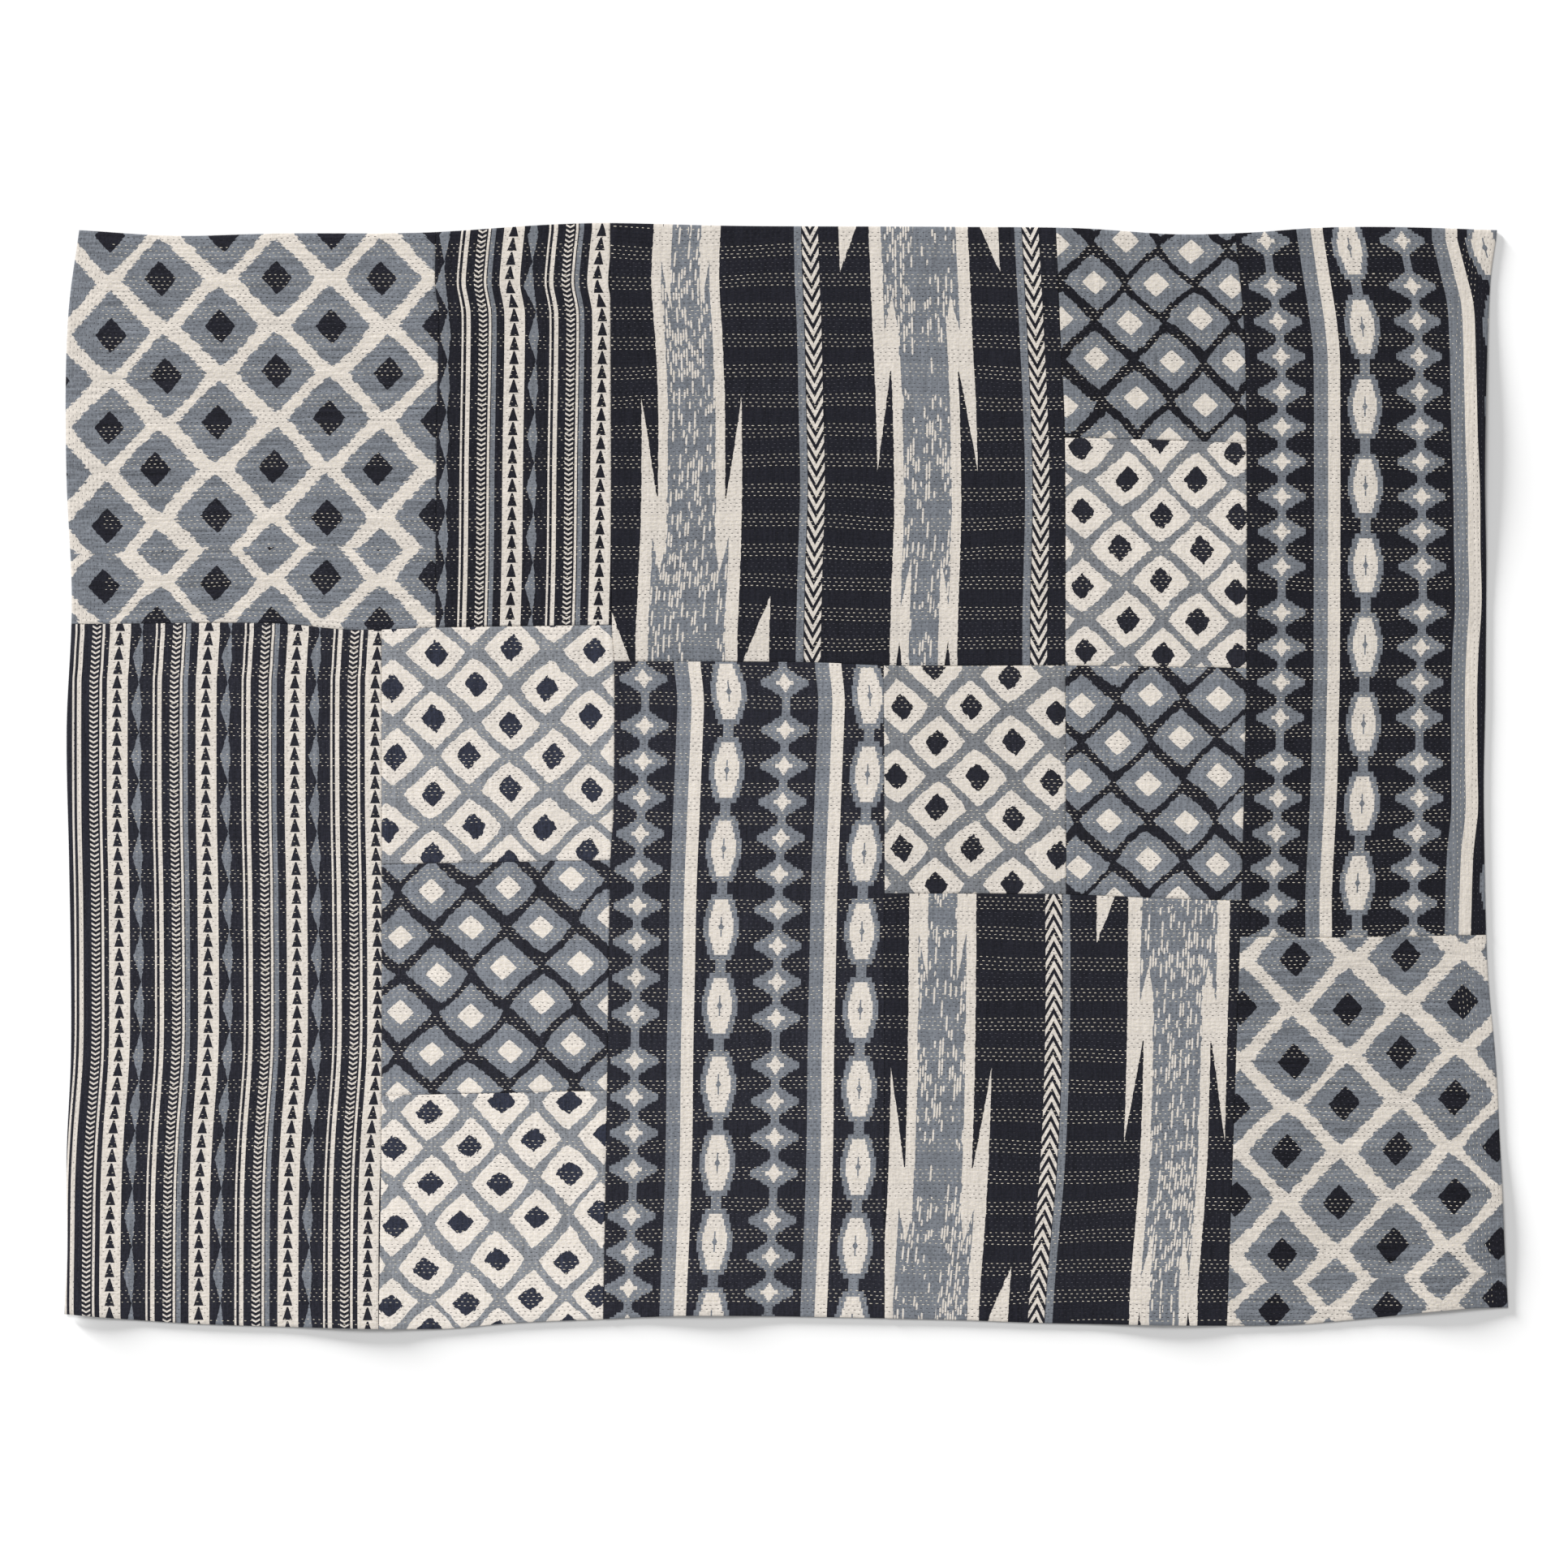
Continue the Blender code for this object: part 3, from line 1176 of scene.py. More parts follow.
NAVY: Colour = (0.0104, 0.0106, 0.0158)
FADED_NAVY: Colour = (0.0135, 0.0165, 0.0290)
BLACK: Colour = (0.0100, 0.0100, 0.0142)
GREY: Colour = (0.186, 0.201, 0.226)
SOFT_GREY: Colour = (0.193, 0.202, 0.216)
PALE_GREY: Colour = (0.216, 0.227, 0.243)
CREAM: Colour = (0.72, 0.665, 0.60)


@dataclass(frozen=True)
class PrintedCotton:
    """The finish of a patch: a print in three colours on puckered cotton."""

    pattern: Print
    dyes: Dyes
    wash: PatchTone
    fading: float = 0.10
    slub: float = 0.30
    weft_faced: bool = False

    def material(self, name: str) -> bpy.types.Material:
        """Make the material.

        Args:
            name: the material's name.

        Returns:
            The material.
        """
        material = bpy.data.materials.new(name)
        material.use_nodes = True
        tree = material.node_tree
        shader = tree.nodes["Principled BSDF"]
        shader.inputs["Specular IOR Level"].default_value = 0.12
        shader.inputs["Sheen Weight"].default_value = 0.04
        shader.inputs["Sheen Roughness"].default_value = 0.5
        place = tree.nodes.new("ShaderNodeTexCoord").outputs["Object"]
        printed = tree.nodes.new("ShaderNodeUVMap")
        printed.uv_map = "print"
        rows = tree.nodes.new("ShaderNodeUVMap")
        rows.uv_map = "quilting"
        masks = self.pattern.add(tree, printed.outputs[0])
        dye = tree.nodes.new("ShaderNodeGroup")
        dye.node_tree = WovenCotton.dye()
        turned = tree.nodes.new("ShaderNodeMapping")
        turned.inputs["Rotation"].default_value = (0.0, 0.0, 0.0 if self.weft_faced else math.pi / 2)
        tree.links.new(place, turned.inputs["Vector"])
        tree.links.new(turned.outputs[0], dye.inputs["Place"])
        tree.links.new(masks.outputs["First"], dye.inputs["First"])
        tree.links.new(masks.outputs["Second"], dye.inputs["Second"])
        for label, colour in (
            ("Ground", self.dyes.ground),
            ("First Dye", self.dyes.first),
            ("Second Dye", self.dyes.second),
        ):
            # Each dye is scaled by the patch's tone, which is higher on the lower left patches and lower on
            # the right.
            dye.inputs[label].default_value = (*(value * self.wash.strength for value in colour), 1.0)
        dye.inputs["Fading"].default_value = self.fading
        dye.inputs["Slub"].default_value = self.slub
        dye.inputs["Lint"].default_value = self.wash.lint
        tree.links.new(dye.outputs["Colour"], shader.inputs["Base Color"])
        tree.links.new(dye.outputs["Roughness"], shader.inputs["Roughness"])
        weave = tree.nodes.new("ShaderNodeGroup")
        weave.node_tree = WovenCotton.surface()
        tree.links.new(place, weave.inputs["Place"])
        tree.links.new(rows.outputs[0], weave.inputs["Rows"])
        bump = tree.nodes.new("ShaderNodeBump")
        bump.inputs["Strength"].default_value = 0.9
        bump.inputs["Distance"].default_value = 0.0015
        tree.links.new(weave.outputs["Height"], bump.inputs["Height"])
        tree.links.new(bump.outputs[0], shader.inputs["Normal"])
        return material


class Side(Enum):
    """How one side of a patch ends."""

    HEM = "turned in at the quilt's edge"
    OVER = "seam, with the allowance pressed under this patch"
    UNDER = "seam, lying flat"


@dataclass
class Patch:
    """One cut piece of printed cotton, sewn to its neighbours and quilted."""

    name: str
    left: Curve
    right: Curve
    bottom: Curve
    top: Curve
    sides: str
    layout: Columns | Lattice
    finish: PrintedCotton
    stitch_size: float = 1.0
    middle_step: float = 19.0
    seam_depth: float = 0.8
    seam_dip: float = 0.32
    allowance: float = 0.25
    cloth: Cloth = field(default_factory=Cloth)

    def side(self, index: int) -> Side:
        """Return how a side ends, counted left, right, bottom, top."""
        return {"h": Side.HEM, "o": Side.OVER, "u": Side.UNDER}[self.sides[index]]

    def edge_steps(self, index: int, columns: bool) -> list[tuple[float, float]]:
        """List the grid lines near one side, from the outside in.

        Args:
            index: the side, counted left, right, bottom, top.
            columns: whether the lines are columns, which also carry the side band.

        Returns:
            Pairs of the distance inwards in mm, and the height that the line is held down to, or -1.
        """
        if self.side(index) is not Side.HEM:
            steps = [(0.0, -2.0), (0.3, -1.0)]
            return steps + ([(1.5, -1.0), (3.4, -1.0), (7.0, -1.0)] if columns else [])
        steps = [(5.0, 0.2), (0.7, 0.45), (0.0, 1.1), (0.35, -1.0)]
        if not columns:
            return steps
        third = self.cloth.quilting.side_pitch / 3
        band = np.arange(1.0, self.cloth.quilting.side_band / third) * third
        return steps + [(float(d), -1.0) for d in band] + [(43.0, -1.0), (47.0, -1.0)]

    def columns(self) -> tuple[np.ndarray, np.ndarray, np.ndarray]:
        """Work out the grid's columns.

        Returns:
            Each column's share of the way from left to right, its offset in mm, and its hold.
        """
        near = self.edge_steps(0, True)
        far = self.edge_steps(1, True)[::-1]
        width = float(np.mean(self.right.at(np.zeros(1)) - self.left.at(np.zeros(1))))
        left_in = near[-1][0]
        right_in = far[0][0]
        count = max(2, round((width - left_in - right_in) / self.middle_step))
        middle = np.arange(1, count) / count
        share = np.concatenate([np.zeros(len(near)), middle, np.ones(len(far))])
        offset = np.concatenate(
            [[d for d, _ in near], left_in * (1 - middle) - right_in * middle, [-d for d, _ in far]]
        )
        hold = np.concatenate([[z for _, z in near], np.full(count - 1, -1.0), [z for _, z in far]])
        return share, offset, hold

    def row_lines(self) -> np.ndarray:
        """List the grid's inner lines, three to each row of stitches.

        Returns:
            Their row numbers, from the bottom up.
        """
        x = np.linspace(float(self.left.at(np.zeros(1))[0]), float(self.right.at(np.zeros(1))[0]), 30)
        lowest = self.cloth.quilting.row(x, self.bottom.at(x)).max()
        highest = self.cloth.quilting.row(x, self.top.at(x)).min()
        return np.arange(math.floor(lowest * 3) + 1, math.ceil(highest * 3) - 2, -1) / 3

    def grid(self) -> tuple[np.ndarray, np.ndarray, np.ndarray]:
        """Lay out the grid.

        Returns:
            x and y in mm, and the hold of each point, each as rows from the bottom up by columns.
        """
        share, offset, column_hold = self.columns()
        low = self.edge_steps(2, False)
        high = self.edge_steps(3, False)[::-1]
        lines = self.row_lines()
        count = len(lines)
        shape = (len(low) + count + len(high), len(share))
        x = np.zeros(shape)
        y = np.zeros(shape)
        y[:] = np.linspace(self.bottom.at(np.zeros(1))[0], self.top.at(np.zeros(1))[0], shape[0])[:, None]
        order = np.arange(count)[:, None]
        for _ in range(5):
            x = self.left.at(y) * (1 - share) + self.right.at(y) * share + offset
            floor = self.bottom.at(x)
            ceiling = self.top.at(x)
            for index, (distance, _) in enumerate(low):
                y[index] = floor[index] + distance
            for index, (distance, _) in enumerate(high):
                y[index - len(high)] = ceiling[index - len(high)] - distance
            inner = slice(len(low), len(low) + count)
            wanted = self.cloth.quilting.line(lines[:, None], x[inner])
            least = floor[inner] + 0.7 + 0.01 * order
            most = ceiling[inner] - 0.7 - 0.01 * (count - 1 - order)
            y[inner] = np.clip(wanted, least, most)
        row_hold = np.concatenate([[z for _, z in low], np.full(count, -1.0), [z for _, z in high]])
        return x, y, self.combined(row_hold[:, None], column_hold[None, :])

    @staticmethod
    def combined(rows: np.ndarray, columns: np.ndarray) -> np.ndarray:
        """Work out the hold at each crossing.

        Args:
            rows: the hold of each line, as a column.
            columns: the hold of each column, as a row.

        Returns:
            The lower held height, else a seam's wall, else free.
        """
        both = np.minimum(np.where(rows < 0, 99.0, rows), np.where(columns < 0, 99.0, columns))
        wall = np.where((rows == -2) | (columns == -2), -2.0, -1.0)
        return np.where(both < 50, both, wall)

    def surface(self, x: np.ndarray, y: np.ndarray) -> np.ndarray:
        """Give the printed face's height.

        Args:
            x: places across, in mm.
            y: places up, in mm.

        Returns:
            The height of the cloth there, in mm.
        """
        height = self.cloth.body(x, y) + self.cloth.relief(x, y)
        distances = (x - self.left.at(y), self.right.at(y) - x, y - self.bottom.at(x), self.top.at(x) - y)
        for index, distance in enumerate(distances):
            if self.side(index) is Side.HEM:
                continue
            height = height - self.cloth.thickness * self.seam_dip * np.exp(-((distance / 1.4) ** 2))
            if self.side(index) is Side.OVER:
                height = height + self.allowance * np.clip((9.0 - distance) / 2.5, 0, 1)
        return height + self.cloth.lift(x, y)

    def holds(self, x: np.ndarray, y: np.ndarray) -> np.ndarray:
        """Return True where a place lies on this patch."""
        across = (x > self.left.at(y)) & (x <= self.right.at(y))
        return across & (y > self.bottom.at(x)) & (y <= self.top.at(x))

    def build(self) -> bpy.types.Object:
        """Model the patch and dress it.

        Returns:
            The patch.
        """
        x, y, hold = self.grid()
        z = self.surface(x, y)
        z = np.where(hold == -2, z - self.seam_depth, z)
        z = np.where(hold >= 0, hold + self.cloth.lift(x, y), z)
        mesh = bpy.data.meshes.new(self.name)
        shape = bmesh.new()
        bmesh.ops.create_grid(shape, x_segments=x.shape[1] - 1, y_segments=x.shape[0] - 1, size=1.0)
        shape.to_mesh(mesh)
        shape.free()
        flat = np.empty(len(mesh.vertices) * 3)
        mesh.vertices.foreach_get("co", flat)
        flat = flat.reshape(-1, 3)
        column = np.rint((flat[:, 0] + 1) / 2 * (x.shape[1] - 1)).astype(int)
        line = np.rint((flat[:, 1] + 1) / 2 * (x.shape[0] - 1)).astype(int)
        points = np.stack([x[line, column], y[line, column], z[line, column]], axis=1) * MM
        mesh.vertices.foreach_set("co", points.ravel())
        self.lay_maps(mesh, points[:, 0] / MM, points[:, 1] / MM)
        mesh.shade_smooth()
        mesh.materials.append(self.finish.material(self.name))
        piece = bpy.data.objects.new(self.name, mesh)
        bpy.context.scene.collection.objects.link(piece)
        return piece

    def lay_maps(self, mesh: bpy.types.Mesh, x: np.ndarray, y: np.ndarray) -> None:
        """Give the mesh its two maps.

        Args:
            mesh: the patch's mesh.
            x: its points across, in mm.
            y: its points up, in mm.
        """
        corners = np.empty(len(mesh.loops), dtype=np.int32)
        mesh.loops.foreach_get("vertex_index", corners)
        printed = [place[corners] for place in self.layout.place(x, y)]
        sides, _ = self.cloth.inset(x, y)
        quilting = self.cloth.quilting
        middle = sides[corners].reshape(-1, 4).mean(axis=1)
        banded = np.repeat(middle < quilting.side_band + 2, 4)
        along = np.where(banded, y[corners], x[corners])
        number = np.where(banded, sides[corners] / quilting.side_pitch, quilting.row(x, y)[corners])
        for label, pair in (("print", printed), ("quilting", (along, number))):
            layer = mesh.uv_layers.new(name=label)
            layer.data.foreach_set("uv", np.stack(pair, axis=1).astype(np.float32).ravel())

    def area(self) -> float:
        """Measure the patch as it is cut.

        Returns:
            Its area, in square metres.
        """
        y = np.linspace(float(self.bottom.at(np.zeros(1))[0]), float(self.top.at(np.zeros(1))[0]), 60)
        x = np.linspace(float(self.left.at(y).min()), float(self.right.at(y).max()), 200)
        mesh_x, mesh_y = np.meshgrid(x, np.linspace(y.min() - 20, y.max() + 20, 240))
        cell = (x[1] - x[0]) * (mesh_y[1, 0] - mesh_y[0, 0])
        return float(self.holds(mesh_x, mesh_y).sum() * cell) * MM * MM


SEAM_A = Curve(((178, -482.5), (-380.5, -482.5), (-656, -485.4)))
SEAM_B = Curve(
    (
        (652, -417.3), (596.2, -418.7), (576.8, -417.7), (552.6, -413.9), (509.1, -414.8),
        (402.8, -416.8), (248, -417.7), (178.4, -417.7),
    )
)
SEAM_C = Curve(
    (
        (654, -209.8), (180, -207.9), (132, -205), (-42, -206), (-105, -209.8), (-380.5, -213.7),
        (-656, -218.5),
    )
)
SEAM_D = Curve(((132, 116), (-141, 117), (-648, 117)))
SEAM_E = Curve(((654, 321), (538, 325.9), (412, 331.7), (132, 332.6), (-141.7, 333.6)))
SEAM_F = Curve(
    (
        (649, 534.8), (538, 545.4), (403, 548.3), (132, 548.3), (-143.6, 542.5), (-192, 540.6),
        (-429, 532.8), (-653, 525),
    )
)
CROSS_A = Curve(((-850, 181.3), (-608, 182.3), (-521, 174.5), (-415, 177.4), (-212, 180.3)))
CROSS_B = Curve(((-206, 136.8), (30, 135.9), (127, 132), (320, 132), (548, 129)))
CROSS_C = Curve(((332, 403.7), (417, 401.8), (548, 397)))
CROSS_D = Curve(((-482, -104.9), (-210, -100)))
CROSS_E = Curve(((-482, -380.5), (-214, -374.7)))
CROSS_F = Curve(((117, -139.7), (330, -140.7), (446, -145.5), (542, -148.4)))
CROSS_G = Curve(((540.6, -191), (649, -192), (834.5, -189)))


LARGE_NORTH = Lattice(
    origin=(-743.6, 592.8),
    pitch=(130.5, 115.1),
    cut_line=270.3,
    cut_depth=40.6,
    marks=(
        (-806, 644), (-671, 645), (-542, 647), (-746, 593), (-607, 594), (-483, 593), (-805, 525),
        (-674, 536), (-542, 536), (-416, 536), (-739, 477), (-607, 483), (-474, 480), (-807, 415),
        (-678, 422), (-545, 427), (-417, 423), (-752, 366), (-611, 369), (-487, 366), (-809, 298),
        (-679, 311), (-547, 308), (-420, 311), (-746, 269), (-614, 273), (-485, 270), (-813, 226),
        (-680, 230), (-549, 237), (-421, 237), (-751, 182), (-613, 182), (-485, 182),
    ),
)
LARGE_SOUTH = Lattice(
    origin=(606.3, -218.1),
    pitch=(131.5, 115.6),
    lean=(0.045, 0.06),
    lean_centre=(606.3, -218.1),
    cut_line=-601.0,
    cut_depth=43.5,
    marks=(
        (606, -218), (738, -214), (806, -269), (669, -278), (542, -276), (605, -340), (733, -329),
        (665, -390), (796, -383), (596, -447), (728, -444), (847, -440), (658, -508), (796, -500),
        (536, -504), (591, -570), (722, -559), (849, -557), (651, -603), (784, -595), (581, -636),
        (716, -634), (847, -620),
    ),
)
PALE_WEST = Lattice(
    origin=(-937.0, 852.6),
    pitch=(93.8, 82.7),
    marks=(
        (-417, 146), (-327, 153), (-229, 150), (-470, 105), (-369, 109), (-286, 104), (-420, 69),
        (-329, 61), (-234, 72), (-466, 23), (-379, 25), (-278, 24), (-421, -21), (-329, -15),
        (-232, -16), (-475, -64), (-372, -60), (-289, -62), (-422, -95), (-331, -104), (-237, -89),
    ),
)
PALE_NORTH = Lattice(
    origin=(-903.3, 888.8),
    pitch=(89.9, 82.7),
    marks=(
        (350, 392), (445, 402), (534, 385), (406, 353), (488, 353), (353, 316), (447, 310), (538, 309),
        (397, 272), (495, 270), (352, 226), (446, 234), (536, 219), (407, 186), (490, 185), (356, 149),
        (449, 144), (537, 142),
    ),
)
PALE_MIDDLE = Lattice(
    origin=(-896.2, 845.6),
    pitch=(93.3, 84.6),
    marks=(
        (175, 131), (266, 118), (138, 82), (220, 83), (322, 75), (179, 40), (271, 41), (131, 0),
        (228, -1), (316, -7), (179, -37), (270, -50), (138, -86), (221, -86), (324, -94), (178, -129),
        (269, -129),
    ),
)
PALE_SOUTH = Lattice(
    origin=(-921.5, 879.5),
    pitch=(82.7, 90.9),
    marks=(
        (-425, -401), (-339, -387), (-259, -389), (-468, -443), (-377, -441), (-301, -433),
        (-215, -426), (-424, -485), (-341, -486), (-258, -473), (-466, -536), (-389, -532),
        (-298, -526), (-222, -519), (-430, -588), (-344, -576), (-262, -579), (-472, -631),
        (-381, -629), (-305, -623), (-225, -619), (-425, -658), (-343, -661), (-259, -655),
    ),
)
DARK_NORTH = Lattice(
    origin=(-881.5, 913.3),
    pitch=(80.7, 93.3),
    marks=(
        (404, 639), (482, 625), (322, 633), (367, 588), (440, 586), (530, 583), (327, 545), (409, 540),
        (493, 546), (369, 498), (460, 494), (533, 495), (333, 441), (417, 451), (499, 442), (384, 398),
        (457, 401),
    ),
)
DARK_WEST = Lattice(
    origin=(-916.2, 834.3),
    pitch=(83.2, 96.7),
    marks=(
        (-423, -137), (-331, -133), (-256, -122), (-460, -192), (-375, -180), (-292, -180),
        (-210, -169), (-414, -237), (-338, -228), (-245, -223), (-460, -281), (-376, -286),
        (-291, -269), (-210, -274), (-423, -331), (-329, -328), (-254, -319), (-462, -379),
        (-377, -373), (-293, -369), (-210, -365),
    ),
)
DARK_EAST = Lattice(
    origin=(-916.6, 912.8),
    pitch=(81.7, 96.7),
    marks=(
        (352, 84), (434, 97), (516, 92), (395, 40), (470, 46), (349, -5), (431, -9), (516, 1),
        (384, -53), (477, -55), (545, -51), (349, -109), (432, -99), (514, -105), (392, -147),
        (466, -145),
    ),
)
ARROWS_NORTH_LINE = Curve(
    (
        (651.3, -361.7), (615.5, -365.5), (586.5, -367.3), (565.2, -363.6), (552.6, -361.7),
        (509.1, -361.7), (381.5, -363.8), (257.7, -365), (178.4, -367),
    )
)
ARROWS_WEST_LINE = Curve(
    (
        (170.7, -821.5), (151.3, -822.9), (132, -823.9), (112.7, -825.3), (-42.1, -825.3),
        (-138.8, -823.4), (-235.5, -822.7), (-332.2, -823.4), (-428.9, -830.2), (-496.6, -833.1),
        (-622.3, -834),
    )
)
ARROWS_NORTH = Columns((ARROWS_NORTH_LINE, ARROWS_NORTH_LINE.shifted(104.4)), (217.6, 323.5))
ARROWS_WEST = Columns((ARROWS_WEST_LINE,), (111.7,))
BANDS_NORTH = Columns(
    centres=(
        Curve(
            (
                (655.1, -118.2), (588.4, -121), (518.8, -116.4), (448.2, -113.2), (308, -113.8),
                (237.4, -116.4), (166.8, -119.9),
            )
        ),
        Curve(
            (
                (644.5, 28), (586.5, 30), (538.1, 31.9), (441.4, 33.8), (344.7, 35.8), (248, 32.9),
                (151.3, 30.9),
            )
        ),
        Curve(
            (
                (655.1, 156.6), (518.8, 162.2), (448.2, 166.5), (308, 168.6), (237.4, 166),
                (149.4, 163),
            )
        ),
        Curve(((655.1, 290.1), (448.2, 300.7), (342.8, 303.6), (201.6, 300.7))),
    ),
    marks=(0.0, 147.0, 278.5, 413.9),
    datum=451.6,
    downwards=True,
)
BANDS_SOUTH = Columns(
    centres=(
        Curve(((-148.4, 468.6), (-336, 465.1), (-474.3, 460.7), (-612.6, 449.7))),
        Curve(
            (
                (-138.8, 318.1), (-267.4, 318.7), (-370.8, 316.6), (-474.3, 311.4), (-577.8, 302.1),
                (-647.4, 296.9),
            )
        ),
        Curve(((-138.8, 186.4), (-370.8, 183.7), (-509.2, 179.5), (-630, 172.1))),
    ),
    marks=(0.0, 147.0, 278.5),
    datum=-435.6,
    turned=True,
)
CROSSES_SOUTH = Columns(
    centres=(
        Curve(
            (
                (132, -109.3), (93.3, -105.4), (54.6, -106.4), (-42.1, -110.2), (-138.8, -114.1),
                (-235.5, -116), (-332.2, -118), (-428.9, -118.9), (-506.2, -120.9), (-641.6, -126.7),
            )
        ),
    ),
    marks=(62.9,),
    datum=60.4,
    downwards=True,
    stretch=1.02,
)
CROSSES_NORTH = Columns(
    centres=(
        Curve(
            (
                (649.3, 632.4), (596.2, 640.2), (538.1, 648.9), (489.8, 652.7), (151.3, 652.7),
                (103, 651.8), (6.3, 649.8), (-42.1, 647.9), (-138.8, 643.1), (-187.1, 643.1),
            )
        ),
        Curve(
            (
                (639.7, 792.3), (594.2, 804.2), (562.3, 811.6), (513.9, 813.9), (465.6, 814.9),
                (400.8, 816.4), (337, 819), (272.2, 819.7), (207.4, 821.3), (150, 817.8),
                (102, 816), (53.5, 816.2), (6.3, 816.5), (-42.1, 816.9), (-92, 811.6),
                (-187.1, 808.5),
            )
        ),
    ),
    marks=(62.9, 230.7),
    datum=583.6,
    downwards=True,
    stretch=0.9915,
)


